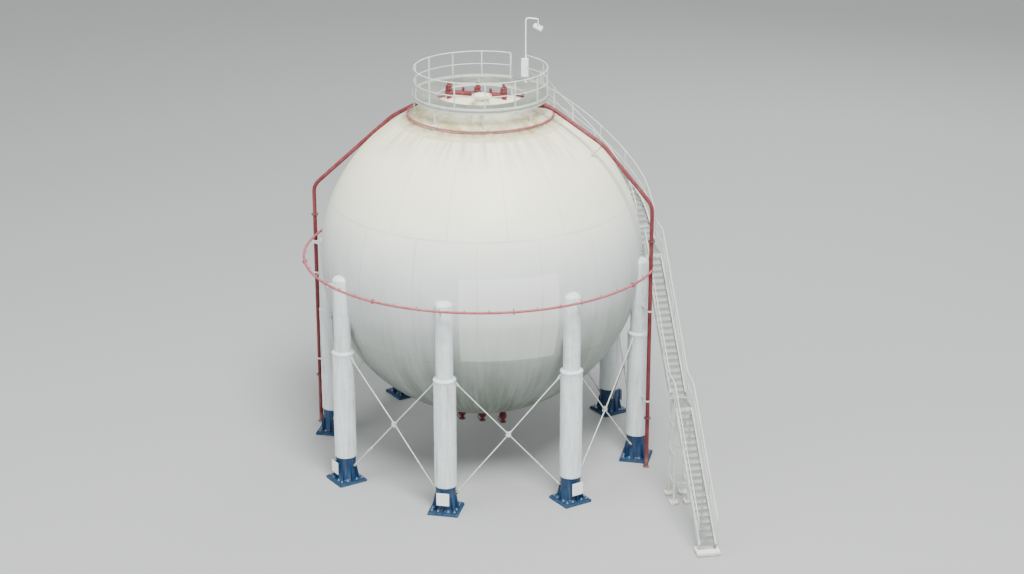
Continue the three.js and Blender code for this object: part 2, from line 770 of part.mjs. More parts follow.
function lampPost() {
  const foot = polar(LAMP.radius, LAMP.angle, DECK_TOP + SEAT);
  const head = foot.clone().setZ(DECK_TOP + LAMP.height);
  const tip = head.clone().add(new THREE.Vector3(LAMP.arm, 0, -60));
  const shade = tip.clone().add(new THREE.Vector3(0, 0, -LAMP.drop));
  const floodlight = block(-200, 200, -150, 150, -75, 75).rotateY(radians(LAMP.tilt));
  const { x, y } = foot;
  return join([
    solid(bar(foot, head, LAMP.pole, 10)),
    solid(block(x - 90, x + 90, y - 60, y + 60, foot.z, foot.z + 15)),
    solid(bar(head.clone().setZ(head.z - 30), tip, LAMP.pole * 0.7, 8)),
    solid(bar(tip.clone().setZ(tip.z + 20), shade, LAMP.pole * 0.6, 8)),
    solid(floodlight.translate(shade.x, shade.y, shade.z)),
    solid(block(x - 170, x + 130, y - 140, y + 20, foot.z + 350, foot.z + 850)),
  ]);
}

addPiece('manway', manway(), shellPaint);
addPiece('relief_valves', reliefValves(), firePaint);
addPiece('lamp_post', lampPost(), railPaint);

// Nozzles with valves under the bottom crown

const NOZZLE_SPACING = 900;
const NOZZLE_BOTTOM = 1100;

function bottomNozzle(x) {
  const z = NOZZLE_BOTTOM;
  const profile = [
    [0, z],
    [140, z],
    [140, z + 40],
    [80, z + 60],
    [80, z + 130],
    [150, z + 200],
    [165, z + 300],
    [150, z + 400],
    [80, z + 470],
    [80, z + 540],
    [140, z + 560],
    [140, z + 640],
    [80, z + 660],
    [80, z + 1050],
    [0, z + 1050],
  ];
  const body = solid(lathe(profile, 12).translate(x, 0, 0));
  const stem = solid(bar(new THREE.Vector3(x, 0, z + 300), new THREE.Vector3(x, -330, z + 300), 40, 8));
  const wheel = solid(bar(new THREE.Vector3(x, -300, z + 300), new THREE.Vector3(x, -330, z + 300), 150, 12));
  return join([body, stem, wheel]).subtract(envelope);
}

for (let i = 0; i < 3; i += 1) {
  addPiece(`bottom_nozzle_${i + 1}`, bottomNozzle((i - 1) * NOZZLE_SPACING), firePaint);
}

// Straight stair; along X here, beside the tank at -Y, then turned to its angle as a group

const stair = new THREE.Group();
stair.rotation.z = radians(STAIR_ANGLE);
tank.add(stair);

// Height of the line through a flight's nosings
function noseHeight(flight, s) {
  const rise = (flight.high - flight.low) / flight.risers;
  const slope = (flight.high - flight.low - rise) / (flight.to - flight.from);
  return flight.low + rise + (s - flight.from) * slope;
}

function stringerOutline(flight) {
  const { from, to, low, high } = flight;
  const start = from + SEAT;
  const end = to - SEAT;
  const startLow = Math.max(noseHeight(flight, start) - STRINGER_BELOW, low - STRINGER_BELOW);
  return [
    [start, startLow],
    [end, high - STRINGER_BELOW],
    [end, high],
    [end - 60, noseHeight(flight, end - 60) + STRINGER_ABOVE],
    [start, noseHeight(flight, start) + STRINGER_ABOVE],
  ];
}

function straightFlight(flight) {
  const outline = stringerOutline(flight);
  const from = new THREE.Vector3(0, 0, 0);
  const to = new THREE.Vector3(1, 0, 0);
  const stringer = (y) => solid(plate(outline, from.clone().setY(y), to.clone().setY(y), STRINGER_THICKNESS));
  const inset = STRINGER_THICKNESS / 2;
  const parts = [stringer(-STAIR_INNER - inset), stringer(-STAIR_OUTER + inset)];
  const rise = (flight.high - flight.low) / flight.risers;
  const going = (flight.to - flight.from) / (flight.risers - 1);
  for (let i = 1; i < flight.risers; i += 1) {
    const s = flight.from + going * (i - 1);
    const z = flight.low + rise * i;
    const near = -STAIR_INNER - STRINGER_THICKNESS + 5;
    const far = -STAIR_OUTER + STRINGER_THICKNESS - 5;
    const back = Math.min(s + going, flight.to - SEAT);
    const front = Math.max(s - TREAD_NOSING, flight.from + SEAT);
    parts.push(solid(block(front, back, far, near, z - TREAD_THICKNESS, z)));
  }
  return join(parts);
}

const FLIGHT_POST = { at: -9450, size: 70 };

// The lower flight stands on its foot block, with one post under its middle
function lowerFlight() {
  const { low } = LOWER_FLIGHT;
  const below = block(-20000, 0, -20000, 0, -1000, low + SEAT);
  const half = FLIGHT_POST.size / 2;
  const top = noseHeight(LOWER_FLIGHT, FLIGHT_POST.at) - STRINGER_BELOW + 60;
  const y = -STAIR_OUTER + half;
  const post = block(FLIGHT_POST.at - half, FLIGHT_POST.at + half, y - half, y + half, 0, top);
  return straightFlight(LOWER_FLIGHT).subtract(solid(below)).add(solid(post));
}

function footBlock() {
  const middle = LOWER_FLIGHT.from + 60;
  const half = FOOT_BLOCK.length / 2;
  const side = FOOT_BLOCK.width / 2;
  return block(middle - half, middle + half, -STAIR_CENTRE - side, -STAIR_CENTRE + side, 0, FOOT_BLOCK.height);
}

// Landing deck between two lines along the stair, with an edge frame
function landingDeck(from, to, top) {
  const parts = [solid(block(from, to, -STAIR_OUTER, -STAIR_INNER, top - DECK_THICKNESS, top))];
  for (const s of [from + 5, to - 65]) {
    parts.push(solid(block(s, s + 60, -STAIR_OUTER + 10, -STAIR_INNER - 10, top - 150, top - 20)));
  }
  for (const y of [-STAIR_OUTER + 5, -STAIR_INNER - 65]) {
    parts.push(solid(block(from + 10, to - 10, y, y + 60, top - 145, top - 25)));
  }
  return join(parts);
}

const TRESTLE = { leg: 80, pad: 320, padHeight: 150, ties: [900, 2100, 3300], spread: 140 };

function midLanding() {
  const from = LOWER_FLIGHT.to;
  const to = UPPER_FLIGHT.from;
  const top = LOWER_FLIGHT.high;
  const parts = [landingDeck(from, to, top)];
  const half = TRESTLE.leg / 2;
  const padHalf = TRESTLE.pad / 2;
  const xs = [from + half + 15, to - half - 15];
  const ys = [-STAIR_OUTER + half + 15, -STAIR_INNER - half - 15];
  for (const x of xs) {
    for (const y of ys) {
      parts.push(solid(block(x - half, x + half, y - half, y + half, 0, top - 30)));
      parts.push(solid(block(x - padHalf, x + padHalf, y - padHalf, y + padHalf, 0, TRESTLE.padHeight)));
    }
  }
  for (const z of TRESTLE.ties) {
    for (const x of xs) {
      parts.push(solid(block(x - 25, x + 25, ys[0], ys[1], z - 25, z + 25)));
    }
    for (const y of ys) {
      parts.push(solid(block(xs[0], xs[1], y - 25, y + 25, z - 25, z + 25)));
    }
  }
  return join(parts);
}

// The landing beside the equator hangs on two knee brackets from the shell
function topLanding() {
  const top = UPPER_FLIGHT.high;
  const parts = [landingDeck(UPPER_FLIGHT.to, TOP_LANDING_END, top)];
  for (const x of [UPPER_FLIGHT.to + 300, TOP_LANDING_END - 300]) {
    parts.push(solid(block(x - 45, x + 45, -STAIR_OUTER + 30, -STAIR_INNER + 500, top - 135, top - 35)));
    const outer = new THREE.Vector3(x, -STAIR_OUTER + 90, top - 90);
    parts.push(solid(bar(outer, new THREE.Vector3(x, -SHELL_RADIUS + 300, top - 1100), 34, 8)));
  }
  return join(parts).subtract(envelope.rotate([0, 0, -STAIR_ANGLE]));
}

// Handrail beside the straight stair: sloping and level rails with side-fixed square posts
function straightHandrail(y, stations) {
  const line = (lift) => stations.map(([s, z]) => new THREE.Vector3(s, y, z + lift));
  const parts = [
    solid(tube(line(HANDRAIL_HEIGHT), RAIL_RADIUS)),
    solid(tube(line(HANDRAIL_HEIGHT / 2), RAIL_RADIUS * 0.8)),
  ];
  const half = POST_SIZE / 2;
  for (let i = 0; i < stations.length - 1; i += 1) {
    const [s0, z0] = stations[i];
    const [s1, z1] = stations[i + 1];
    const spans = Math.max(1, Math.round((s1 - s0) / POST_SPACING));
    const lastSpan = i === stations.length - 2;
    for (let k = 0; k < spans + (lastSpan ? 1 : 0); k += 1) {
      const s = THREE.MathUtils.clamp(s0 + ((s1 - s0) * k) / spans, stations[0][0] + half, 1e5);
      const z = z0 + ((z1 - z0) * (s - s0)) / (s1 - s0);
      parts.push(solid(block(s - half, s + half, y - half, y + half, z - 110, z + HANDRAIL_HEIGHT)));
    }
  }
  return join(parts);
}

function handrailStations(end) {
  const stations = [
    [LOWER_FLIGHT.from + 40, noseHeight(LOWER_FLIGHT, LOWER_FLIGHT.from + 40)],
    [LOWER_FLIGHT.to, LOWER_FLIGHT.high],
    [UPPER_FLIGHT.from, UPPER_FLIGHT.low + 60],
    [UPPER_FLIGHT.to, UPPER_FLIGHT.high],
  ];
  if (end > UPPER_FLIGHT.to) {
    stations.push([end, UPPER_FLIGHT.high]);
  }
  return stations;
}

const railOffset = SEAT + POST_SIZE / 2;
addPiece('stair_foot_block', footBlock(), concrete, stair);
addPiece('stair_lower_flight', lowerFlight(), railPaint, stair);
addPiece('stair_mid_landing', midLanding(), railPaint, stair);
addPiece('stair_upper_flight', straightFlight(UPPER_FLIGHT), railPaint, stair);
addPiece('stair_top_landing', topLanding(), railPaint, stair);
addPiece(
  'stair_handrail_outer',
  straightHandrail(-STAIR_OUTER - railOffset, handrailStations(TOP_LANDING_END - 30)),
  railPaint,
  stair,
);
addPiece(
  'stair_handrail_inner',
  straightHandrail(-STAIR_INNER + railOffset, handrailStations(UPPER_FLIGHT.to)),
  railPaint,
  stair,
);

// Curved stair over the shell

// Unit direction of travel at a step of the curved route
function travel(index) {
  const { points } = curved;
  const before = points[Math.max(index - 1, 0)];
  const after = points[Math.min(index + 1, points.length - 1)];
  return new THREE.Vector3(after.x - before.x, after.y - before.y, 0).normalize();
}

// Point on the stair's edge: side 1 is towards the shell, -1 away from it
function edgePoint(index, side, inset = STRINGER_THICKNESS / 2) {
  const direction = travel(index);
  const left = new THREE.Vector3(-direction.y, direction.x, 0);
  return curved.points[index].clone().addScaledVector(left, side * (STAIR_WIDTH / 2 - inset));
}

function curvedStringer(side) {
  const points = curved.points.map((_, i) => edgePoint(i, side));
  const last = points.length - 1;
  points[0].lerp(points[1], SEAT / points[0].distanceTo(points[1]));
  points[last].lerp(points[last - 1], SEAT / points[last].distanceTo(points[last - 1]));
  const half = STRINGER_THICKNESS / 2;
  const section = new THREE.Shape([
    new THREE.Vector2(-half, -STRINGER_BELOW),
    new THREE.Vector2(half, -STRINGER_BELOW),
    new THREE.Vector2(half, STRINGER_ABOVE),
    new THREE.Vector2(-half, STRINGER_ABOVE),
  ]);
  return solid(new THREE.ExtrudeGeometry(section, { steps: last, extrudePath: new UprightRoute(points) }));
}

// Treads fill the steps between the stringers and lap a little under the step above
function curvedTreads() {
  const parts = [];
  const inset = STRINGER_THICKNESS - 5;
  for (let i = 0; i < curved.points.length - 1; i += 1) {
    const nosing = travel(i).multiplyScalar(-TREAD_NOSING);
    const lap = travel(i + 1).multiplyScalar(15);
    const corners = [
      edgePoint(i, -1, inset).add(nosing),
      edgePoint(i + 1, -1, inset).add(lap),
      edgePoint(i + 1, 1, inset).add(lap),
      edgePoint(i, 1, inset).add(nosing),
    ];
    const shape = new THREE.Shape(corners.map((corner) => new THREE.Vector2(corner.x, corner.y)));
    const tread = new THREE.ExtrudeGeometry(shape, { depth: TREAD_THICKNESS, bevelEnabled: false });
    parts.push(solid(tread.translate(0, 0, curved.points[i].z - TREAD_THICKNESS)));
  }
  return join(parts);
}

// Bearers under every sixth tread: level to the shell low down, upright legs higher up
function curvedBearers() {
  const parts = [];
  for (let i = 3; i < curved.points.length; i += 6) {
    const outer = edgePoint(i, -1).setZ(curved.points[i].z - 200);
    const inner = edgePoint(i, 1).setZ(curved.points[i].z - 200);
    const up = inner.z - CENTRE_HEIGHT;
    if (up < SHELL_RADIUS * 0.6) {
      const inside = inner.clone().lerp(outer, -1.2);
      parts.push(solid(bar(outer, inside, 40)).subtract(envelope));
    } else {
      parts.push(solid(bar(outer, inner, 40)));
      for (const point of [outer, inner]) {
        parts.push(solid(bar(point, point.clone().setZ(point.z - 1200), 40)).subtract(envelope));
      }
    }
  }
  return join(parts);
}

// The flight starts square against the end of the top landing
function curvedFlight() {
  const landing = block(0, TOP_LANDING_END + SEAT, -2 * STAIR_OUTER, 0, 0, DECK_TOP);
  return join([curvedStringer(1), curvedStringer(-1), curvedTreads(), curvedBearers()])
    .subtract(solid(landing.rotateZ(radians(STAIR_ANGLE))));
}

const CURVED_POST_STEP = 5;

function curvedHandrail(side) {
  const offset = STRINGER_THICKNESS / 2 + SEAT + POST_SIZE / 2;
  const half = POST_SIZE / 2;
  const seats = [];
  for (let i = 1; i < curved.points.length - 1; i += CURVED_POST_STEP) {
    const a = edgePoint(i, side);
    const b = edgePoint(i + 1, side);
    const along = new THREE.Vector3(b.x - a.x, b.y - a.y, 0).normalize();
    const outward = new THREE.Vector3(-along.y, along.x, 0).multiplyScalar(side);
    const place = a.clone().add(b).multiplyScalar(0.5).addScaledVector(outward, offset);
    seats.push({ place, turn: Math.atan2(along.y, along.x) });
  }
  const line = (lift) => seats.map((seat) => seat.place.clone().setZ(seat.place.z + lift));
  const parts = [
    solid(tube(line(HANDRAIL_HEIGHT), RAIL_RADIUS)),
    solid(tube(line(HANDRAIL_HEIGHT / 2), RAIL_RADIUS * 0.8)),
  ];
  for (const { place, turn } of seats) {
    const post = block(-half, half, -half, half, -180, HANDRAIL_HEIGHT);
    parts.push(solid(post.rotateZ(turn).translate(place.x, place.y, place.z)));
  }
  return join(parts);
}

addPiece('stair_curved_flight', curvedFlight(), railPaint);
addPiece('stair_curved_handrail_outer', curvedHandrail(-1), railPaint);
addPiece('stair_curved_handrail_inner', curvedHandrail(1), railPaint);

// The origin is on the ground, in the middle of the whole part's footprint
tank.updateMatrixWorld(true);
const footprint = new THREE.Box3().setFromObject(tank, true).getCenter(new THREE.Vector3());
tank.position.set(-footprint.x, -footprint.y, 0);

export default tank;
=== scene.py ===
"""Visual model of a spherical gas tank on eight braced columns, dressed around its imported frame."""
import sys
import logging
import math
from dataclasses import dataclass
from enum import Enum
from functools import partial
from typing import Any, Callable, Iterable, Sequence

import bmesh
import bpy
from mathutils import Matrix, Quaternion, Vector


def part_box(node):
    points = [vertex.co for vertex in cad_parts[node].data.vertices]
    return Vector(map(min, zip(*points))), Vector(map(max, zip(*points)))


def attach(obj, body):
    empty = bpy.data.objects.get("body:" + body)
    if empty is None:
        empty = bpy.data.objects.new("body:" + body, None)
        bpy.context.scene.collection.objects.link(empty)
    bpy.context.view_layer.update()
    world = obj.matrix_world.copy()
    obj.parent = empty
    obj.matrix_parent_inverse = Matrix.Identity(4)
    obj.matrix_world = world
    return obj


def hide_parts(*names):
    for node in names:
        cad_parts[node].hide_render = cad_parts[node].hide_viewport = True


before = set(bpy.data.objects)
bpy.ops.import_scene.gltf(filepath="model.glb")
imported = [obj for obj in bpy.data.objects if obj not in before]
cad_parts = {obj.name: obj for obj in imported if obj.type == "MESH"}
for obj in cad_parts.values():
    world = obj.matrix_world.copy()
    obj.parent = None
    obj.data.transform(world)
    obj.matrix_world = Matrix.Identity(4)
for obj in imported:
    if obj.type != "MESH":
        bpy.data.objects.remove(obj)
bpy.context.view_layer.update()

log = logging.getLogger("tank")

Outline = Sequence[tuple[float, float]]
Shape = bmesh.types.BMesh
Node = bpy.types.Node
AddNode = Callable[..., Node]

UP = Vector((0.0, 0.0, 1.0))
LEVEL = Matrix()

# The tank's upright axis in the row's frame; every size below is in metres about it
BELT_LOW, BELT_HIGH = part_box("shell_equator_course")
AXIS = Vector(((BELT_LOW.x + BELT_HIGH.x) / 2, (BELT_LOW.y + BELT_HIGH.y) / 2, 0.0))

# Sizes that the stair and the platform share
STAIR_ANGLE = 111.0
STAIR_WIDTH = 0.7
DECK_TOP = 15.61
DECK_RADIUS = 2.8
# Hairline that parts two pieces which would otherwise share a face
GAP = 0.0003


# Placing


def turn(angle: float, axis: str = "Z") -> Matrix:
    """Turn in degrees, which about Z goes from -Y towards +X."""
    return Matrix.Rotation(math.radians(angle), 4, axis)


def shift(x: float = 0.0, y: float = 0.0, z: float = 0.0) -> Matrix:
    """Plain move."""
    return Matrix.Translation((x, y, z))


def at(point: Vector) -> Matrix:
    """Move to a point."""
    return Matrix.Translation(point)


def rim(angle: float, radius: float, height: float) -> Matrix:
    """Place at a radius round the axis whose -Y looks outward and whose +X runs along the rim."""
    return turn(angle) @ shift(0.0, -radius, height)


def polar(radius: float, angle: float, height: float) -> Vector:
    """Point at a radius and an angle round the axis."""
    return rim(angle, radius, height).to_translation()


def aimed(start: Vector, end: Vector) -> Matrix:
    """Place at a point whose +Z runs towards another."""
    return at(start) @ UP.rotation_difference(end - start).to_matrix().to_4x4()


def laid(point: Vector, x_axis: Vector, y_axis: Vector) -> Matrix:
    """Place at a point whose X and Y run along two directions."""
    return at(point) @ Matrix((x_axis, y_axis, x_axis.cross(y_axis))).transposed().to_4x4()


def corners(x: float, y: float, height: float = 0.0) -> list[Matrix]:
    """Four places at the corners of a rectangle, given half its sizes."""
    return [shift(i, k, height) for i in (-x, x) for k in (-y, y)]


def bolt_circle(count: int, radius: float) -> list[Matrix]:
    """Places spread round a circle."""
    return [turn(360 * i / count) @ shift(radius) for i in range(count)]


STANDING = turn(90, "X")
UPSIDE_DOWN = turn(180, "X")


# Finishes


def linear(code: str) -> tuple[float, float, float, float]:
    """Turn the six digits of an sRGB hex code to a linear colour with an alpha of one."""
    parts = [int(code[i:i + 2], 16) / 255 for i in (0, 2, 4)]
    return (*[p / 12.92 if p <= 0.04045 else ((p + 0.055) / 1.055) ** 2.4 for p in parts], 1.0)


def plug(tree: bpy.types.NodeTree, node: Node, inputs: Sequence[Any] | dict[int | str, Any]) -> None:
    """Set or link a node's inputs.

    Args:
        tree: the material's node tree.
        node: the node.
        inputs: what goes into each input in use, in order or by number or name: a value, a colour's hex
            code, a socket to link from, or a node whose first output is linked.
    """
    in_use = [socket for socket in node.inputs if socket.enabled]
    for key, value in inputs.items() if isinstance(inputs, dict) else enumerate(inputs):
        socket = in_use[key] if isinstance(key, int) else node.inputs[key]
        if isinstance(value, Node):
            value = next(output for output in value.outputs if output.enabled)
        if isinstance(value, bpy.types.NodeSocket):
            tree.links.new(value, socket)
        else:
            socket.default_value = linear(value) if isinstance(value, str) else value


def add_node(tree: bpy.types.NodeTree, kind: str, inputs: Sequence[Any] | dict = (), **settings: Any) -> Node:
    """Add a node with its settings, values and links.

    Args:
        tree: the material's node tree.
        kind: the node's type without its ShaderNode prefix.
        inputs: what goes into its inputs, as plug() takes it.
        **settings: properties of the node.

    Returns:
        The new node.
    """
    node = tree.nodes.new("ShaderNode" + kind)
    for name, value in settings.items():
        setattr(node, name, value)
    plug(tree, node, inputs)
    return node


class Finish:
    """A finish that is made once and then shared by name."""

    name: str

    def material(self) -> bpy.types.Material:
        """Give the finish's material, made the first time it is asked for."""
        made = bpy.data.materials.get(self.name)
        if made is None:
            made = bpy.data.materials.new(self.name)
            made.use_nodes = True
            tree = made.node_tree
            plug(tree, tree.nodes["Principled BSDF"], self.lay(partial(add_node, tree)))
        return made

    def lay(self, add: AddNode) -> dict[str, Any]:
        """Lay the finish's nodes with add, and give what goes into the shader's inputs."""
        raise NotImplementedError


@dataclass(frozen=True)
class BallPaint(Finish):
    """Cream alkyd enamel on the ball: chalky and streaked, with painted light on top, painted shade and dirt
    underneath and the deck's painted shadow.
    """

    name: str = "alkyd_enamel_cream"
    fresh: str = "E6ECE8"
    weathered: str = "CFD8D2"
    # Yellowed cream of the upper third, painted lighter as painted light from above
    yellowed_lit_cream: str = "F3F1D1"
    # Dirt of the seams, and the painted shade with dirt on the underside
    grime: str = "60665D"
    # Brown of the stains round the crown, also the deck's painted shadow on them
    stain_and_shadow_brown: str = "978B5F"
    rust: str = "8A4F38"
    patch: str = "EEF0EA"
    # Heights of the level weld seams from the ball's middle, and the number of plates in a course
    belt_seam: float = 2.564
    crown_seam: float = 5.802
    plates: int = 16
    # Where the square of newer paint faces, and its lower and upper edges
    patch_angle: float = 22.5
    patch_foot: float = -2.4
    patch_head: float = 1.22
    # Height of the spray ring round the crown from the ball's middle
    ring: float = 5.97

    def lay(self, add: AddNode) -> dict[str, Any]:
        """Weather the enamel coat by coat."""
        place = add("TexCoord").outputs["Object"]
        local = add("Mapping", {0: place, "Location": (-AXIS.x, -AXIS.y, -BALL.centre)})
        x, y, z = add("SeparateXYZ", (local,)).outputs
        flat = add("CombineXYZ", (x, y))
        heading = add("VectorMath", (flat,), operation="NORMALIZE")
        # Runs of dirt about 200 mm apart at the belt and 90 mm under the platform, a few metres long
        streaks = add("TexNoise", (self.drawn(add, heading, z, 34.0, 0.5), 1.0, 4.0, 0.6))
        # Wider curtains of dirt, about 700 mm apart, that gather the runs
        curtains = add("TexNoise", (self.drawn(add, heading, z, 9.0, 0.35), 1.0, 5.0, 0.62))
        gathered = add("Math", (curtains, 2.0, streaks), operation="MULTIPLY_ADD")
        # Broad uneven weathering, patches of about 1.5 m
        clouds = add("TexNoise", (local, 0.7, 5.0, 0.62))
        # Lighter and warmer towards the top: yellowed paint, with painted light on the upper third
        yellowing_and_top_light = add("MapRange", (z, 0.8, 4.7, 0.0, 0.95), interpolation_type="SMOOTHSTEP")
        # Darker towards the bottom: painted shade of the underside, with dirt gathered in runs
        underside_shade = add("MapRange", (z, 2.4, -5.4, 0.0, 0.92))
        under_runs = add("MapRange", (gathered, 1.15, 1.85, 0.84, 1.12))
        shade_and_dirt = add("Math", (underside_shade, under_runs), operation="MULTIPLY")
        # Dirt holds along the weld seams
        held = add("MapRange", (clouds, 0.35, 0.7, 0.05, 0.24))
        seam_dirt = add("Math", (self.seams(add, x, y, z, flat), held), operation="MULTIPLY")
        # Brown runs below the platform and its spray ring, a band of brown stain and painted deck shadow
        # under the deck, and a few rust spots all over
        runs = add("MapRange", (gathered, 1.3, 2.1, 0.0, 0.95))
        spots = add("TexNoise", (local, 9.0, 6.0, 0.7))
        coat = self.fresh
        for share, colour in (
            (clouds, self.weathered), (yellowing_and_top_light, self.yellowed_lit_cream), (shade_and_dirt, self.grime),
            (self.repaint(add, heading, z), self.patch), (seam_dirt, self.grime),
            (self.browning_and_deck_shadow(add, local, z, runs), self.stain_and_shadow_brown), (self.rusting(add, z, runs, spots), self.rust),
        ):
            coat = add("Mix", (share, coat, colour), data_type="RGBA")
        gloss = add("MapRange", (clouds, 0.3, 0.7, 0.42, 0.56))
        # Pressed plates are slightly uneven over about 2 m, and the enamel has a faint roller texture
        plates = add("TexNoise", (local, 0.45, 1.0))
        waves = add("Bump", {"Height": plates, "Strength": 0.25, "Distance": 0.08})
        grain = add("Bump", {"Height": spots, "Normal": waves, "Strength": 0.15, "Distance": 0.004})
        return {"Base Color": coat, "Roughness": gloss, "Normal": grain}

    @staticmethod
    def drawn(add: AddNode, heading: Node, z: bpy.types.NodeSocket, across: float, down: float) -> Node:
        """Place of a pattern that is drawn out down the ball, given its scale round it and down it."""
        parts = (
            add("VectorMath", (heading, across), operation="SCALE"),
            add("CombineXYZ", {"Z": add("Math", (z, down), operation="MULTIPLY")}),
        )
        return add("VectorMath", parts, operation="ADD")

    def repaint(self, add: AddNode, heading: Node, z: bpy.types.NodeSocket) -> Node:
        """Find the square of newer paint between the first two columns.

        Args:
            add: adds a node to the material's tree.
            heading: level direction from the ball's axis.
            z: height from the ball's middle.

        Returns:
            Its share, 0 outside it.
        """
        towards = polar(1.0, self.patch_angle, 0.0)
        facing = add("VectorMath", (heading, towards), operation="DOT_PRODUCT")
        sides = add("MapRange", (facing, math.cos(math.radians(17.6)), math.cos(math.radians(17.2))))
        above = add("MapRange", (z, self.patch_foot, self.patch_foot + 0.06))
        below = add("MapRange", (z, self.patch_head, self.patch_head - 0.06))
        level = add("Math", (above, below), operation="MULTIPLY")
        square = add("Math", (level, sides), operation="MULTIPLY")
        return add("Math", (square, 0.4), operation="MULTIPLY")

    def seams(self, add: AddNode, x: Any, y: Any, z: Any, flat: Node) -> Node:
        """Find the weld seams: the level ones, then the upright ones, set half a plate apart by course.

        Args:
            add: adds a node to the material's tree.
            x: place along X from the ball's middle.
            y: place along Y.
            z: height.
            flat: level place from the ball's axis.

        Returns:
            1 on a seam, 0 away from it.
        """
        high = add("Math", (z,), operation="ABSOLUTE")
        marks = []
        for level in (self.belt_seam, self.crown_seam):
            away = add("Math", (high, level), operation="SUBTRACT")
            near = add("Math", (away,), operation="ABSOLUTE")
            marks.append(add("MapRange", (near, 0.05, 0.012)))
        level_seams = add("Math", marks, operation="MAXIMUM")
        angle = add("Math", (x, y), operation="ARCTAN2")
        plate = add("Math", (angle, self.plates / math.tau), operation="MULTIPLY")
        belt = add("Math", (high, self.belt_seam), operation="LESS_THAN")
        staggered = add("Math", (belt, 0.5, plate), operation="MULTIPLY_ADD")
        # Pingpong is 0 or 1 on every other seam, so half less its distance from a half is 0 on each
        saw = add("Math", (staggered, 1.0), operation="PINGPONG")
        half = add("Math", (saw, 0.5), operation="SUBTRACT")
        inner = add("Math", (half,), operation="ABSOLUTE")
        gap = add("Math", (0.5, inner), operation="SUBTRACT")
        reach = add("VectorMath", (flat,), operation="LENGTH")
        along = add("Math", (gap, reach), operation="MULTIPLY")
        upright = add("MapRange", (along, 0.11, 0.03))
        below_crown = add("Math", (high, self.crown_seam), operation="LESS_THAN")
        uprights = add("Math", (upright, below_crown), operation="MULTIPLY")
        return add("Math", (level_seams, uprights), operation="MAXIMUM")

    @staticmethod
    def browning_and_deck_shadow(add: AddNode, local: Node, z: bpy.types.NodeSocket, runs: Node) -> Node:
        """Find the brown stains round the crown, darkened under the deck as its painted shadow.

        Args:
            add: adds a node to the material's tree.
            local: place from the ball's middle.
            z: height from the ball's middle.
            runs: how dirty the runs are.

        Returns:
            Their share.
        """
        crown = add("MapRange", (z, 4.3, 6.15), interpolation_type="SMOOTHERSTEP")
        lower_runs = add("Math", (crown, runs), operation="MULTIPLY")
        # Band under the deck: brown stain, and the deck's painted shadow
        under_deck_stain_and_shadow = add("MapRange", (z, 5.6, 6.0, 0.0, 0.85), interpolation_type="SMOOTHERSTEP")
        blotches = add("TexNoise", (local, 2.4, 6.0, 0.7))
        uneven = add("MapRange", (blotches, 0.34, 0.68, 0.5, 1.15))
        band = add("Math", (under_deck_stain_and_shadow, uneven), operation="MULTIPLY")
        both = add("Math", (lower_runs, band), operation="MAXIMUM")
        # The crown inside the deck's hole is left clean, out of the deck's painted shadow
        clean = add("MapRange", (z, 6.2, 6.42, 1.0, 0.15))
        return add("Math", (both, clean), operation="MULTIPLY")

    def rusting(self, add: AddNode, z: bpy.types.NodeSocket, runs: Node, spots: Node) -> Node:
        """Find the thin rust line under the top spray ring and the rust spots.

        Args:
            add: adds a node to the material's tree.
            z: height from the ball's middle.
            runs: how dirty the runs are.
            spots: fine noise.

        Returns:
            Their share.
        """
        past_ring = add("Math", (z, self.ring), operation="SUBTRACT")
        distance = add("Math", (past_ring,), operation="ABSOLUTE")
        line = add("MapRange", (distance, 0.09, 0.02, 0.0, 0.6))
        broken = add("Math", (line, runs), operation="MULTIPLY")
        few = add("MapRange", (spots, 0.7, 0.76, 0.0, 0.6))
        return add("Math", (broken, few), operation="MAXIMUM")


@dataclass(frozen=True)
class Enamel(Finish):
    """Brushed enamel on steelwork: faded in patches, rusting in spots, dusty towards the ground."""

    name: str
    colour: str
    faded: str
    rust: str = "7A4227"
    dust: str = "B5AC9B"
    grime: str = "86806F"
    # Share of the surface that has rusted through, from 0 to 1
    rusting: float = 0.15
    # Height up to which dust has splashed, in metres
    splash: float = 0.5
    roughness: float = 0.5
    # Depth of the brush and scale texture, in metres
    grain: float = 0.002
    # How strongly rain has drawn dirt and rust down the surface, from 0 to 1
    streaking: float = 0.3

    def lay(self, add: AddNode) -> dict[str, Any]:
        """Weather the enamel coat by coat."""
        place = add("TexCoord").outputs["Object"]
        local = add("Mapping", {0: place, "Location": -AXIS})
        # Fading in patches of about 400 mm
        fading = add("TexNoise", (local, 2.6, 5.0, 0.65))
        spread = add("MapRange", (fading, 0.32, 0.7))
        # Runs of dirt some 100 mm apart and over a metre long
        tall = add("Mapping", {0: local, "Scale": (9.0, 9.0, 0.75)})
        drips = add("TexNoise", (tall, 1.0, 5.0, 0.6))
        runs = add("MapRange", (drips, 0.5, 0.78, 0.0, self.streaking))
        # Rust spots of 20 to 60 mm, drawn coarse enough to show
        flakes = add("TexNoise", (local, 17.0, 7.0, 0.72))
        limit = 0.8 - 0.3 * self.rusting
        spots = add("MapRange", (flakes, limit - 0.04, limit, 0.0, 0.85))
        height = add("SeparateXYZ", (local,)).outputs["Z"]
        low = add("MapRange", (height, self.splash, 0.0, 0.0, 0.75))
        splashed = add("Math", (low, spread), operation="MULTIPLY")
        coat = self.colour
        for share, colour in (
            (spread, self.faded), (runs, self.grime), (spots, self.rust), (splashed, self.dust),
        ):
            coat = add("Mix", (share, coat, colour), data_type="RGBA")
        dull = add("MapRange", {0: spots, "To Min": self.roughness, "To Max": 0.9})
        relief = add("Bump", {"Height": flakes, "Strength": 0.35, "Distance": self.grain})
        return {"Base Color": coat, "Roughness": dull, "Normal": relief}


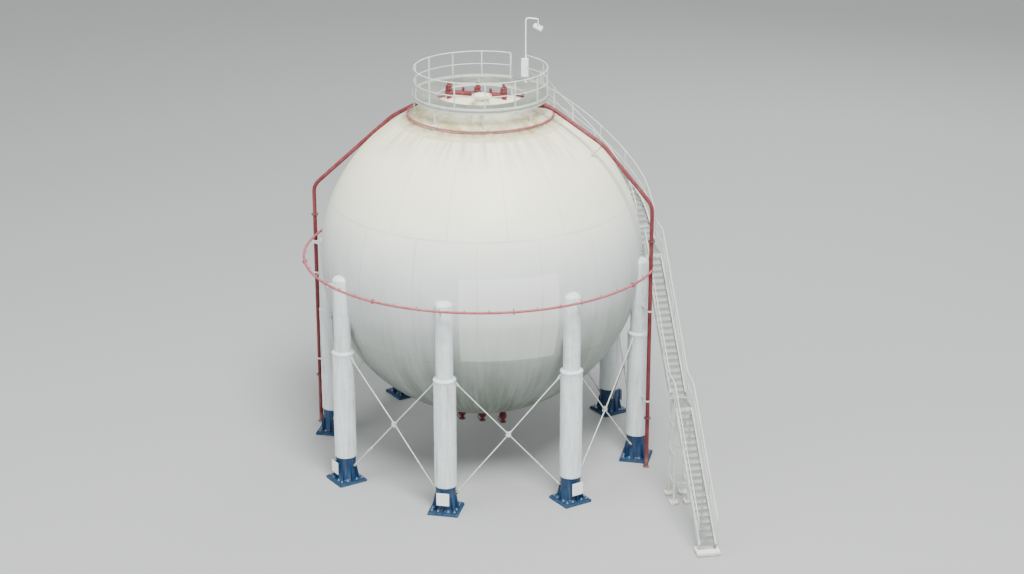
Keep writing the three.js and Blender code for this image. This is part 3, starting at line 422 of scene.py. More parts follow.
@dataclass(frozen=True)
class Render(Finish):
    """White cement render trowelled over mesh: lift joints, hollows, rusty weeps and hairline cracks."""

    name: str = "cement_render_white"
    colour: str = "DAE2E1"
    shade: str = "BAC3C1"
    weep: str = "A9865F"
    crack: str = "7E817B"
    lift: float = 0.6

    def lay(self, add: AddNode) -> dict[str, Any]:
        """Weather the render, then crack it."""
        place = add("TexCoord").outputs["Object"]
        local = add("Mapping", {0: place, "Location": -AXIS})
        # Runs of dirt about 140 mm apart and over a metre long, the darkest of them rusty
        stretch = add("Mapping", {0: local, "Scale": (7.0, 7.0, 0.7)})
        runs = add("TexNoise", (stretch, 1.0, 4.0))
        tone = add("MapRange", (runs, 0.38, 0.72, 0.0, 0.8))
        weeps = add("MapRange", (runs, 0.64, 0.75, 0.0, 0.62))
        # The render went on in lifts, and dirt sits in their joints
        height = add("SeparateXYZ", (local,)).outputs["Z"]
        wander = add("Math", (runs, 0.03, height), operation="MULTIPLY_ADD")
        lifts = add("Math", (wander, self.lift / 2), operation="PINGPONG")
        joints = add("MapRange", (lifts, 0.014, 0.003, 0.0, 0.2))
        # Hairline cracks are under 1 mm wide; drawn at about 6 mm so that they show
        crazing = add("TexVoronoi", {"Vector": local, "Scale": 1.3}, feature="DISTANCE_TO_EDGE")
        hairs = add("MapRange", (crazing.outputs["Distance"], 0.008, 0.002, 0.0, 0.5))
        some = add("MapRange", (runs, 0.5, 0.6))
        cracks = add("Math", (hairs, some), operation="MULTIPLY")
        coat = self.colour
        for share, colour in (
            (tone, self.shade), (weeps, self.weep), (joints, self.crack), (cracks, self.crack),
        ):
            coat = add("Mix", (share, coat, colour), data_type="RGBA")
        # Trowel marks of 60 to 200 mm
        trowel = add("TexNoise", (local, 7.0, 4.0, 0.55))
        relief = add("Bump", {"Height": trowel, "Strength": 0.6, "Distance": 0.012})
        return {"Base Color": coat, "Roughness": 0.72, "Normal": relief}


@dataclass(frozen=True)
class Zinc(Finish):
    """Hot-dip galvanised steel gone dull: pale grey, spangled, a little darker in patches."""

    name: str = "galvanised_steel"
    colour: str = "AFB3AD"
    dark: str = "838984"
    roughness: float = 0.55

    def lay(self, add: AddNode) -> dict[str, Any]:
        """Spangle the zinc."""
        place = add("TexCoord").outputs["Object"]
        # Spangles are about 10 mm across; drawn at 30 mm so that they show
        spangle = add("TexVoronoi", {"Vector": place, "Scale": 33.0}).outputs["Color"]
        cloud = add("TexNoise", (place, 3.0, 4.0))
        cell = add("SeparateColor", (spangle,))
        mixed = add("Math", (cell, cloud), operation="MULTIPLY")
        tone = add("Mix", (mixed, self.colour, self.dark), data_type="RGBA")
        relief = add("Bump", {"Height": cloud, "Strength": 0.2, "Distance": 0.002})
        return {"Base Color": tone, "Metallic": 0.35, "Roughness": self.roughness, "Normal": relief}


@dataclass(frozen=True)
class Concrete(Finish):
    """Cast concrete with a thin whitewash: gritty, with worn grey corners and a dirty foot."""

    name: str = "whitewashed_concrete"
    wash: str = "E4E3DC"
    bare: str = "A8A49A"

    def lay(self, add: AddNode) -> dict[str, Any]:
        """Wear the wash off."""
        place = add("TexCoord").outputs["Object"]
        # Worn patches of about 300 mm, more of them in the lowest 120 mm
        worn = add("TexNoise", (place, 3.5, 6.0, 0.7))
        height = add("SeparateXYZ", (place,)).outputs["Z"]
        foot = add("MapRange", (height, 0.12, 0.0, 0.0, 0.3))
        wear = add("Math", (worn, foot), operation="ADD")
        share = add("MapRange", (wear, 0.5, 0.75))
        tone = add("Mix", (share, self.wash, self.bare), data_type="RGBA")
        # Grit of the cast face, drawn at 35 mm and finer
        grit = add("TexNoise", (place, 28.0, 8.0, 0.7))
        relief = add("Bump", {"Height": grit, "Strength": 0.5, "Distance": 0.004})
        return {"Base Color": tone, "Roughness": 0.88, "Normal": relief}


@dataclass(frozen=True)
class LampGlass(Finish):
    """Toughened glass of the floodlight, with the bright reflector right behind it."""

    name: str = "toughened_glass_reflector"
    bright: str = "E9EDEE"
    dim: str = "C6CDD0"

    def lay(self, add: AddNode) -> dict[str, Any]:
        """Band the reflector behind the glass with painted reflection, bright and dim on ribs about 80 mm
        apart.
        """
        place = add("TexCoord").outputs["Object"]
        # Painted reflection: bright and dim bands on the reflector's ribs
        rib_reflections = add("TexWave", {"Vector": place, "Scale": 12.0, "Distortion": 0.4}).outputs["Fac"]
        tone = add("Mix", (rib_reflections, self.bright, self.dim), data_type="RGBA")
        return {"Base Color": tone, "Roughness": 0.12, "Coat Weight": 1.0, "Coat Roughness": 0.03}


@dataclass(frozen=True)
class Paving(Finish):
    """Plain pale floor of the studio."""

    name: str = "studio_floor"
    colour: str = "9FA19F"

    def lay(self, add: AddNode) -> dict[str, Any]:
        """Give it one matt colour."""
        return {"Base Color": self.colour, "Roughness": 0.9}


BALL_PAINT = BallPaint()
RENDER = Render()
# White gloss on the columns' bare steel above the collar
COLUMN_WHITE = Enamel(
    "alkyd_enamel_white", "DDE5E5", "C6D0CE", rusting=0.2, splash=0.01, roughness=0.42, streaking=0.45,
)
# Deep blue machinery enamel on the bases, chalking where the sun reaches it
BASE_BLUE = Enamel("machinery_enamel_blue", "01264A", "093B61", rusting=0.2, splash=0.14, roughness=0.42)
# Dark red fire-main enamel on risers, valves and nozzles
FIRE_RED = Enamel("fire_main_enamel_red", "5E111A", "792A33", rusting=0.3, splash=0.5, roughness=0.58)
# The ring mains face the sky and have chalked to a dusty pink
FADED_RED = Enamel("chalked_enamel_red", "963C48", "A9656C", rusting=0.25, splash=0.01, roughness=0.72)
# Pale grey-green enamel on stairs, rails and braces
RAIL_GREY = Enamel("alkyd_enamel_pale_grey", "D6DBD1", "BCC3B9", rusting=0.42, splash=0.6, roughness=0.5)
GRATING = Zinc()
BOLT_ZINC = Zinc("zinc_plated_fasteners", "9EA29F", "6D706E", 0.45)
WASHED = Concrete()
# Masonry paint over the column's cast plinth, scuffed to bare concrete at its corners
PLINTH_BLUE = Concrete("masonry_paint_blue", "04345A", "35505F")
# Powder-coated die-cast aluminium of the floodlight and its junction box
CAST_WHITE = Enamel(
    "powder_coated_aluminium", "F1F2F0", "E2E5E3", rusting=0.0, splash=0.01, roughness=0.38, streaking=0.1,
)
GLASS = LampGlass()
FLOOR = Paving()


# Shapes, each made on its own about its own origin


def ease(shape: Shape, edges: Iterable[bmesh.types.BMEdge], width: float) -> None:
    """Bevel some of a mesh's edges."""
    bmesh.ops.bevel(
        shape, geom=list(edges), offset=width, offset_type="OFFSET", segments=1, profile=0.5,
        affect="EDGES", clamp_overlap=True, material=-1,
    )


def slab(length: float, width: float, height: float, bevel: float = 0.0) -> Shape:
    """Block about its middle.

    Args:
        length: size along X.
        width: size along Y.
        height: size along Z.
        bevel: how far its edges are eased.

    Returns:
        The block.
    """
    shape = bmesh.new()
    bmesh.ops.create_cube(shape, size=1.0)
    bmesh.ops.scale(shape, vec=(length, width, height), verts=shape.verts[:])
    if bevel:
        ease(shape, shape.edges[:], bevel)
    return shape


def drum(
    radius: float, height: float, sides: int = 16, top: float | None = None, bevel: float = 0.0,
) -> Shape:
    """Round body that stands on its origin.

    Args:
        radius: radius at the foot.
        height: height along Z.
        sides: how many sides it has.
        top: radius at the top, if another.
        bevel: how far its two rims are eased.

    Returns:
        The body.
    """
    shape = bmesh.new()
    bmesh.ops.create_cone(
        shape, cap_ends=True, segments=sides, radius1=radius, radius2=radius if top is None else top,
        depth=height, matrix=shift(z=height / 2),
    )
    if bevel:
        rims = [edge for edge in shape.edges if abs(edge.verts[0].co.z - edge.verts[1].co.z) < 1e-6]
        ease(shape, rims, bevel)
    return shape


def cut_plate(outline: Outline, thickness: float, bevel: float = 0.0) -> Shape:
    """Flat plate of an outline in XY, its thickness shared about Z.

    Args:
        outline: corners in order.
        thickness: the plate's thickness.
        bevel: how far its edges are eased.

    Returns:
        The plate.
    """
    shape = bmesh.new()
    face = shape.faces.new([shape.verts.new((x, y, -thickness / 2)) for x, y in outline])
    grown = bmesh.ops.extrude_face_region(shape, geom=[face])["geom"]
    lifted = [item for item in grown if isinstance(item, bmesh.types.BMVert)]
    bmesh.ops.translate(shape, vec=(0.0, 0.0, thickness), verts=lifted)
    if bevel:
        ease(shape, shape.edges[:], bevel)
    return shape


def turned(profile: Outline, steps: int = 32, closed: bool = False) -> Shape:
    """Body of revolution about Z.

    Args:
        profile: (radius, height) pairs, from axis to axis unless closed.
        steps: how many steps the turn has.
        closed: whether the profile closes on itself.

    Returns:
        The body.
    """
    shape = bmesh.new()
    points = [shape.verts.new((radius, 0.0, height)) for radius, height in profile]
    pairs = list(zip(points, points[1:]))
    if closed:
        pairs.append((points[-1], points[0]))
    edges = [shape.edges.new(pair) for pair in pairs]
    bmesh.ops.spin(
        shape, geom=points + edges, cent=(0, 0, 0), axis=(0, 0, 1), angle=math.tau, steps=steps,
        use_merge=True, use_duplicate=False,
    )
    bmesh.ops.remove_doubles(shape, verts=shape.verts[:], dist=1e-5)
    return shape


def circle(radius: float, sides: int) -> list[tuple[float, float]]:
    """Round section."""
    angles = [math.tau * i / sides for i in range(sides)]
    return [(radius * math.cos(angle), radius * math.sin(angle)) for angle in angles]


def hoop(radius: float, sides: int, height: float) -> list[Vector]:
    """Level closed route round Z."""
    return [Vector((x, y, height)) for x, y in circle(radius, sides)]


def heading(route: Sequence[Vector], index: int, closed: bool = False) -> Vector:
    """Direction of travel at a point of a route.

    Args:
        route: the route's points.
        index: which point.
        closed: whether the route joins its own start.

    Returns:
        The direction.
    """
    last = len(route) - 1
    before = route[index - 1] if index > 0 or closed else route[0]
    after = route[(index + 1) % len(route)] if index < last or closed else route[last]
    return (after - before).normalized()


def rolling_frames(route: Sequence[Vector], closed: bool = False) -> list[Matrix]:
    """Places along a route whose +Z runs along it, with no twist from one to the next.

    Args:
        route: the route's points.
        closed: whether the route joins its own start.

    Returns:
        The places.
    """
    aim = heading(route, 0, closed)
    lay: Quaternion = UP.rotation_difference(aim)
    frames = []
    for index, point in enumerate(route):
        ahead = heading(route, index, closed)
        lay = aim.rotation_difference(ahead) @ lay
        aim = ahead
        frames.append(at(point) @ lay.to_matrix().to_4x4())
    return frames


def upright_frames(route: Sequence[Vector]) -> list[Matrix]:
    """Places along a route whose X is level to the left of travel and whose Y is straight up."""
    sides = [UP.cross(heading(route, index)).normalized() for index in range(len(route))]
    return [laid(point, side, UP) for point, side in zip(route, sides)]


def swept(section: Outline, frames: Sequence[Matrix], closed: bool = False) -> Shape:
    """Section run through places in turn.

    Args:
        section: corners in the X and Y of each place.
        frames: the places.
        closed: whether the run joins its own start.

    Returns:
        The body.
    """
    shape = bmesh.new()
    ends = [shape.verts.new(frames[0] @ Vector((x, y, 0.0))) for x, y in section]
    edges = [shape.edges.new(pair) for pair in zip(ends, ends[1:] + ends[:1])]
    start = list(edges)
    for before, after in zip(frames, frames[1:]):
        grown = bmesh.ops.extrude_edge_only(shape, edges=edges)["geom"]
        ends = [item for item in grown if isinstance(item, bmesh.types.BMVert)]
        moved = set(ends)
        sides = [item for item in grown if isinstance(item, bmesh.types.BMEdge)]
        edges = [side for side in sides if moved.issuperset(side.verts)]
        bmesh.ops.transform(shape, matrix=after @ before.inverted(), verts=ends)
    if closed:
        bmesh.ops.bridge_loops(shape, edges=start + edges)
    else:
        bmesh.ops.holes_fill(shape, edges=start + edges)
    return shape


def pipe(route: Sequence[Vector], radius: float, sides: int = 12, closed: bool = False) -> Shape:
    """Round bar or pipe along a route."""
    return swept(circle(radius, sides), rolling_frames(route, closed), closed)


def rounded(bends: Sequence[Vector], reach: float, steps: int = 6) -> list[Vector]:
    """Route through points, rounded at each but its ends.

    Args:
        bends: the points.
        reach: how far from a point its curve starts.
        steps: how many steps each curve has.

    Returns:
        The route's points.
    """
    route = [bends[0].copy()]
    for before, bend, after in zip(bends, bends[1:], bends[2:]):
        start = bend + (before - bend).normalized() * min(reach, (before - bend).length * 0.49)
        end = bend + (after - bend).normalized() * min(reach, (after - bend).length * 0.49)
        for i in range(steps + 1):
            t = i / steps
            route.append(start.lerp(bend, t).lerp(bend.lerp(end, t), t))
    route.append(bends[-1].copy())
    return route


def rim_route(radius: float, height: float, first: float, last: float, steps: int) -> list[Vector]:
    """Level route round the axis between two angles."""
    return [polar(radius, first + (last - first) * i / steps, height) for i in range(steps + 1)]


class Workpiece:
    """One piece of the tank, gathered from shapes about the tank's axis."""

    def __init__(self, finish: Finish) -> None:
        """Start empty, with the finish that most of its shapes get."""
        self.mesh = bmesh.new()
        self.finish = finish
        self.finishes: list[Finish] = []

    def slot(self, finish: Finish) -> int:
        """Number of a finish's material slot, which is added when it is new."""
        if finish not in self.finishes:
            self.finishes.append(finish)
        return self.finishes.index(finish)

    def add(self, shape: Shape, *places: Matrix, finish: Finish | None = None) -> None:
        """Take a shape in, once for each place.

        Args:
            shape: the shape, which is used up.
            *places: where it goes, if not where it was made.
            finish: its finish, if not the piece's own.
        """
        index = self.slot(finish or self.finish)
        bmesh.ops.recalc_face_normals(shape, faces=shape.faces[:])
        for face in shape.faces:
            face.material_index = index
            face.smooth = True
        self._merge(shape, places or (LEVEL,))

    def repeat(self, other: "Workpiece", places: Iterable[Matrix]) -> None:
        """Take a whole other workpiece in, once for each place.

        Args:
            other: the workpiece, which is used up.
            places: where it goes.
        """
        slots = [self.slot(finish) for finish in other.finishes]
        for face in other.mesh.faces:
            face.material_index = slots[face.material_index]
        self._merge(other.mesh, places)

    def _merge(self, shape: Shape, places: Iterable[Matrix]) -> None:
        """Copy a mesh in at each place and free it.

        Args:
            shape: the mesh.
            places: where it goes.
        """
        pattern = bpy.data.meshes.new("pattern")
        shape.to_mesh(pattern)
        shape.free()
        for place in places:
            copy = pattern.copy()
            copy.transform(place)
            if place.is_negative:
                copy.flip_normals()
            self.mesh.from_mesh(copy)
            bpy.data.meshes.remove(copy)
        bpy.data.meshes.remove(pattern)

    def rod(
        self, start: Vector, end: Vector, radius: float, sides: int = 12, finish: Finish | None = None,
    ) -> None:
        """Add a straight round bar between two points."""
        self.add(drum(radius, (end - start).length, sides), aimed(start, end), finish=finish)

    def bolts(self, places: Iterable[Matrix], size: float) -> None:
        """Add bolt heads with washers that stand on each place's XY plane.

        Args:
            places: where the bolts go.
            size: the heads' width across corners.
        """
        head = Workpiece(BOLT_ZINC)
        head.add(drum(size * 0.72, size * 0.14, 10))
        head.add(drum(size / 2, size * 0.62, 6))
        self.repeat(head, places)

    def flange(self, place: Matrix, radius: float, depth: float, count: int = 8, foot: bool = False) -> None:
        """Add a pipe flange with bolts through it, standing on a place's XY plane.

        Args:
            place: where it goes, with +Z along the pipe.
            radius: the flange's radius.
            depth: its thickness.
            count: how many bolts it has.
            foot: whether it lies on the ground, with no bolt heads below.
        """
        self.add(drum(radius, depth, 32, bevel=depth * 0.12), place)
        spots = bolt_circle(count, radius * 0.83)
        heads = [place @ spot @ shift(z=depth) for spot in spots]
        if not foot:
            heads += [place @ spot @ UPSIDE_DOWN for spot in spots]
        self.bolts(heads, radius * 0.17)

    def pad(
        self, seat: Vector, radius: float, depth: float, sunk: float = 0.0, bevel: float = 0.003,
        sides: int = 24, finish: Finish | None = None,
    ) -> None:
        """Add a round pad that is welded to the ball, given how far below its seat it starts."""
        out = (seat - BALL.middle).normalized()
        self.add(drum(radius, depth, sides, bevel=bevel), aimed(seat - out * sunk, seat + out), finish=finish)

    def beam(self, width: float, length: float, place: Matrix, half: float = 0.045) -> None:
        """Add an I-beam along Y, given how far its two flanges lie from its middle."""
        self.add(slab(width, length, 0.009, 0.001), *[place @ shift(z=z) for z in (-half, half)])
        self.add(slab(0.009, length, 0.09, 0.001), place)

    def finish_as(self, name: str, slot: str, *nodes: str, place: Matrix = LEVEL) -> None:
        """Put the piece in the scene.

        Args:
            name: the piece's name.
            slot: the record's material slot; not used.
            *nodes: the solids that it stands for.
            place: its turn about the tank's axis.
        """
        bmesh.ops.transform(self.mesh, matrix=at(AXIS) @ place, verts=self.mesh.verts[:])
        mesh = bpy.data.meshes.new(name)
        self.mesh.to_mesh(mesh)
        self.mesh.free()
        for finish in self.finishes:
            mesh.materials.append(finish.material())
        mesh.set_sharp_from_angle(angle=math.radians(35))
        piece = bpy.data.objects.new(name, mesh)
        bpy.context.collection.objects.link(piece)
        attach(piece, "root")
        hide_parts(*nodes)
        mesh.calc_loop_triangles()
        log.info("%s: %d triangles", name, len(mesh.loop_triangles))


# Ball


@dataclass(frozen=True)
class Ball:
    """Welded ball of five courses of pressed plates."""

    radius: float = 6.7
    centre: float = 8.71
    crown_latitude: float = 60.0
    belt_latitude: float = 22.5
    # Latitude near the pole where the seams between the crown's plates end
    pole_latitude: float = 87.0
    bead: float = 0.013
    plates: int = 16

    @property
    def middle(self) -> Vector:
        """The ball's middle."""
        return Vector((0.0, 0.0, self.centre))

    def chord(self, distance: float) -> float:
        """Half the chord at a distance from the ball's middle."""
        return math.sqrt(max(self.radius ** 2 - distance ** 2, 0.0))

    def top(self, distance: float) -> float:
        """Height of the upper skin at a distance from the axis."""
        return self.centre + self.chord(distance)

    def below(self, point: Vector, sunk: float = 0.01) -> Vector:
        """Point just under the skin, straight below another as seen from the ball's middle."""
        return self.middle + (point - self.middle).normalized() * (self.radius - sunk)

    def seam_point(self, latitude: float, angle: float) -> Vector:
        """Point on a weld seam, just sunk in the skin."""
        reach, up = self.radius - self.bead * 0.55, math.radians(latitude)
        return polar(reach * math.cos(up), angle, self.centre + reach * math.sin(up))

    def seam(self, low: float, high: float, angle: float, steps: int) -> Shape:
        """Upright weld bead between two latitudes."""
        route = [self.seam_point(low + (high - low) * i / steps, angle) for i in range(steps + 1)]
        return pipe(route, self.bead, 6)

    def build(self) -> None:
        """Build the skin with its weld beads."""
        piece = Workpiece(BALL_PAINT)
        skin = bmesh.new()
        bmesh.ops.create_uvsphere(
            skin, u_segments=160, v_segments=80, radius=self.radius, matrix=at(self.middle),
        )
        piece.add(skin)
        crown, belt, pole = self.crown_latitude, self.belt_latitude, self.pole_latitude
        for latitude in (-crown, -belt, belt, crown):
            level = [self.seam_point(latitude, 2.5 * i) for i in range(144)]
            piece.add(pipe(level, self.bead, 6, closed=True))
        step = 360 / self.plates
        for low, high, first in ((-crown, -belt, 0.0), (-belt, belt, step / 2), (belt, crown, 0.0)):
            piece.add(self.seam(low, high, first, 20), *[turn(step * i) for i in range(self.plates)])
        for side in (-1, 1):
            seam = self.seam(side * crown, side * pole, step / 2, 12)
            piece.add(seam, *[turn(90 * i) for i in range(4)])
        courses = ("bottom_crown", "lower_course", "equator_course", "upper_course", "top_crown")
        piece.finish_as("shell", "shell_paint", *[f"shell_{course}" for course in courses])


BALL = Ball()


# Columns, bases and bracing


@dataclass
class Legs:
    """Eight columns on their bases, with rod bracing between them."""

    count: int = 8
    circle: float = 6.7
    # Radii of the steel pipe, of the render round its lower part and of the collar on top of that
    pipe: float = 0.35
    render: float = 0.45
    collar: float = 0.466
    collar_height: float = 5.74
    # Lifts in which the render went on, each with its own slight bulge
    lifts: int = 15
    cap_foot: float = 8.83
    cap_rise: float = 0.18
    pipe_joint: float = 6.9
    # Columns whose render and collar carry no arm for the spray ring
    without_arm: tuple[int, ...] = (3,)
    base_top: float = 1.13
    stub: float = 0.41
    plinth: float = 1.25
    base_plate: float = 1.13
    # Bases that carry a bare plate, and its size
    plated: tuple[int, ...] = (1, 2, 4, 8)
    plate_width: float = 0.52
    plate_height: float = 0.54
    brace_high: float = 6.0
    brace_low: float = 0.25
    lug_reach: float = 0.8
    rod: float = 0.024

    @property
    def bay(self) -> float:
        """Distance between two columns' axes."""
        return 2 * self.circle * math.sin(math.pi / self.count)

    @property
    def slope(self) -> Vector:
        """Unit direction of a falling brace, along the bay and up."""
        return Vector((self.bay, self.brace_low - self.brace_high)).normalized()

    def stand(self, number: int) -> Matrix:
        """Turn from the first column to another."""
        return turn(360 / self.count * (number - 1))

    def bay_place(self, side: int) -> Matrix:
        """Place on the first column's axis, X to the next column on side 1 or -1, and Y up."""
        here, there = (polar(self.circle, i * 360 / self.count, 0.0) for i in (0, side))
        return laid(here, (there - here).normalized(), UP)

    def lugs(self, piece: Workpiece, height: float, falling: bool) -> None:
        """Add the two lugs of a column end with their pins.

        Args:
            piece: the workpiece that gets them.
            height: where the braces meet the column's axis.
            falling: whether the braces fall away from here.
        """
        slope = self.slope if falling else Vector((self.slope.x, -self.slope.y))
        side = Vector((-slope.y, slope.x))
        tip = Vector((0.0, height)) + slope * (self.lug_reach - 0.05)
        # The nose is cut to a blunt round
        cuts = ((0.0, -0.055), (0.035, -0.042), (0.05, 0.0), (0.035, 0.042), (0.0, 0.055))
        nose = [tip + slope * out + side * wide for out, wide in cuts]
        outline = [(0.0, height - 0.18), *[(point.x, point.y) for point in nose], (0.0, height + 0.18)]
        pin = tip - slope * 0.06
        for way in (1, -1):
            place = self.bay_place(way)
            piece.add(cut_plate(outline, 0.025, 0.002), place)
            spot = place @ shift(pin.x, pin.y, -0.065)
            piece.add(drum(0.02, 0.13, 12, bevel=0.003), spot, finish=BOLT_ZINC)

    def render_profile(self, number: int) -> list[tuple[float, float]]:
        """Outline of the render round a column's pipe.

        Args:
            number: the column's number, which varies the bulges.

        Returns:
            (radius, height) pairs.
        """
        foot, head = self.base_top, self.collar_height - 0.1
        profile = [(0.0, foot), (self.render - 0.012, foot), (self.render, foot + 0.012)]
        for i in range(1, self.lifts):
            bulge = 0.0035 * math.sin(2.7 * i + number) + 0.002 * math.sin(5.1 * i)
            profile.append((self.render + bulge, foot + (head - foot) * i / self.lifts))
        return profile + [(self.render, head - 0.015), (self.render + 0.004, head), (0.0, head)]

    def column(self, number: int) -> None:
        """Build a column.

        Args:
            number: which column, counted from the front towards +X.
        """
        piece = Workpiece(COLUMN_WHITE)
        axis = shift(y=-self.circle)
        piece.add(turned(self.render_profile(number), 48), axis, finish=RENDER)
        top = self.collar_height
        hood = [
            (self.render - 0.03, top - 0.12), (self.render + 0.003, top - 0.112),
            (self.collar - 0.004, top - 0.075), (self.collar, top - 0.05), (self.collar - 0.002, top - 0.02),
            (self.collar - 0.012, top - 0.002), (self.pipe + 0.02, top + 0.044),
            (self.pipe + 0.006, top + 0.054), (self.pipe - 0.02, top + 0.056), (self.pipe - 0.02, top - 0.12),
        ]
        piece.add(turned(hood, 48, closed=True), axis)
        steel = [(0.0, top - 0.1)]
        steel += [(self.pipe, height) for height in (top - 0.1, top + 0.6, self.cap_foot - 0.6)]
        for k in range(8):
            angle = math.pi / 2 * k / 8
            steel.append((self.pipe * math.cos(angle), self.cap_foot + self.cap_rise * math.sin(angle)))
        steel.append((0.0, self.cap_foot + self.cap_rise))
        piece.add(turned(steel, 48), axis)
        # Round weld of the domed cap, and of the joint in the steel pipe
        for height in (self.cap_foot, self.pipe_joint):
            piece.add(pipe(hoop(self.pipe, 48, height), 0.008, 6, closed=True), axis)
        piece.add(self.saddle_weld())
        self.lugs(piece, self.brace_high, falling=True)
        if number not in self.without_arm:
            self.ring_arm(piece)
        place = self.stand(number)
        piece.finish_as(f"tank_column_{number}", "fireproofing_paint", f"column_{number}", place=place)

    def saddle_weld(self) -> Shape:
        """Make the weld bead where the column's pipe meets the ball.

        Returns:
            The bead, round the inner side of the pipe.
        """
        route = []
        for k in range(41):
            a = math.radians(93 + 174 * k / 40)
            x, y = self.pipe * math.sin(a), -self.circle - self.pipe * math.cos(a)
            route.append(Vector((x, y, BALL.centre - BALL.chord(math.hypot(x, y)))))
        return pipe(route, 0.016, 8)

    def ring_arm(self, piece: Workpiece) -> None:
        """Add the arm under the spray ring, with its knee and U-bolt.

        Args:
            piece: the workpiece that gets it.
        """
        ring, height = SprayPipes.ring, SprayPipes.ring_height
        top = height - SprayPipes.ring_seat
        root = self.circle + self.pipe - 0.03
        reach = ring + 0.055 - root
        piece.add(slab(0.06, reach, 0.012, 0.001), shift(0.0, -root - reach / 2, top - 0.006))
        web = [(0.0, -0.2), (reach - 0.03, -0.075), (reach, -0.06), (reach, -0.012), (0.0, -0.012)]
        piece.add(cut_plate(web, 0.012, 0.001), shift(0.0, -root, top) @ turn(-90) @ STANDING)
        bow = 0.0505
        bend = [(-ring + bow, top - 0.03)]
        for k in range(13):
            angle = math.pi * k / 12
            bend.append((-ring + bow * math.cos(angle), height + bow * math.sin(angle)))
        bend.append((-ring - bow, top - 0.03))
        piece.add(pipe([Vector((0.0, y, z)) for y, z in bend], 0.006, 8), finish=BOLT_ZINC)

    def base(self, number: int) -> None:
        """Build a column's base.

        Args:
            number: the column's number.
        """
        piece = Workpiece(BASE_BLUE)
        axis = shift(y=-self.circle)
        piece.add(slab(self.plinth, self.plinth, 0.11, 0.012), axis @ shift(z=0.055), finish=PLINTH_BLUE)
        piece.add(slab(self.base_plate, self.base_plate, 0.04, 0.003), axis @ shift(z=0.13))
        stub = [
            (0.0, 0.14), (self.stub + 0.03, 0.14), (self.stub + 0.008, 0.165), (self.stub, 0.18),
            (self.stub, 1.05), (self.stub + 0.012, 1.056), (self.stub + 0.012, 1.124),
            (self.stub + 0.006, 1.1297), (0.0, 1.1297),
        ]
        piece.add(turned(stub, 48), axis)
        gusset = [
            (self.stub - 0.02, 0.148), (0.55, 0.148), (0.55, 0.23), (self.stub + 0.035, 0.715),
            (self.stub + 0.012, 0.72), (self.stub - 0.02, 0.72),
        ]
        piece.add(cut_plate(gusset, 0.022, 0.002), *[axis @ turn(45 * i) @ STANDING for i in range(8)])
        spots = corners(0.47, 0.47) + corners(0.21, 0.49) + corners(0.49, 0.21)
        anchors = [axis @ shift(z=0.15) @ spot for spot in spots]
        piece.bolts(anchors, 0.062)
        piece.add(drum(0.016, 0.085, 10), *anchors, finish=BOLT_ZINC)
        self.lugs(piece, self.brace_low, falling=False)
        if number in self.plated:
            self.blank_plate(piece)
        place = self.stand(number)
        piece.finish_as(f"tank_base_{number}", "base_paint", f"column_base_{number}", place=place)

    def blank_plate(self, piece: Workpiece) -> None:
        """Add a bare white plate on its two brackets to the outer side of a base's stub.

        Args:
            piece: the workpiece that gets it.
        """
        place = shift(0.0, -self.circle - self.stub - 0.115, 0.7)
        piece.add(slab(self.plate_width, 0.012, self.plate_height, 0.003), place, finish=CAST_WHITE)
        piece.add(slab(0.03, 0.14, 0.44, 0.002), *[place @ shift(x, 0.072) for x in (-0.13, 0.13)])
        piece.bolts([place @ STANDING @ spot for spot in corners(0.23, 0.24, 0.006)], 0.018)

    def brace(self, number: int) -> None:
        """Build a bay's two rods and the plates at their crossing.

        Args:
            number: the bay's number, that of the column at its left.
        """
        piece = Workpiece(RAIL_GREY)
        for rising in (False, True):
            self.brace_rod(piece, rising)
        crossing = self.bay_place(1) @ shift(self.bay / 2, (self.brace_high + self.brace_low) / 2)
        piece.add(slab(0.2, 0.2, 0.01, 0.002), *[crossing @ shift(z=z) for z in (-0.051, 0.051)])
        piece.bolts([crossing @ spot for spot in corners(0.07, 0.07, 0.056)], 0.03)
        place = self.stand(number)
        piece.finish_as(f"tank_brace_{number}", "rail_paint", f"cross_brace_{number}", place=place)

    def brace_rod(self, piece: Workpiece, rising: bool) -> None:
        """Add a rod with its two clevises and its turnbuckle, bent round the other rod.

        Args:
            piece: the workpiece that gets it.
            rising: whether it rises along the bay.
        """
        bay, reach = self.bay_place(1), self.slope * (self.lug_reach - 0.11)
        head = Vector((0.0, self.brace_high)) + reach
        foot = Vector((self.bay, self.brace_low)) - reach
        if rising:
            head.x, foot.x = self.bay - head.x, self.bay - foot.x
        head, foot = head.to_3d(), foot.to_3d()
        along = (foot - head).normalized()
        middle = (head + foot) / 2 + UP * (self.rod if rising else -self.rod)
        bends = [head + along * 0.11, head + along * 1.2, middle, foot - along * 1.2, foot - along * 0.11]
        piece.add(pipe(rounded(bends, 0.3), self.rod, 14), bay)
        for eye, way in ((head, along), (foot, -along)):
            for cheek in (-0.026, 0.026):
                piece.add(drum(0.046, 0.014, 16, bevel=0.002), bay @ at(eye) @ shift(z=cheek - 0.007))
                arm = laid(eye + way * 0.06 + UP * cheek, UP, way.cross(UP))
                piece.add(slab(0.014, 0.08, 0.12, 0.002), bay @ arm)
            neck = bay @ aimed(eye + way * 0.11, eye + way)
            piece.add(drum(0.042, 0.07, 16, top=0.034, bevel=0.004), neck)
        # Turnbuckle near the low end, where a hand reaches it
        near = foot - along * 1.05
        buckle = bay @ aimed(near, near - along)
        piece.add(drum(0.04, 0.075, 6, bevel=0.003), buckle, buckle @ shift(z=0.3))
        piece.add(slab(0.016, 0.028, 0.26, 0.003), *[buckle @ shift(x, 0.0, 0.187) for x in (-0.034, 0.034)])

    def build(self) -> None:
        """Build all the columns, bases and braces."""
        for number in range(1, self.count + 1):
            self.column(number)
            self.base(number)
            self.brace(number)


# Spray pipes


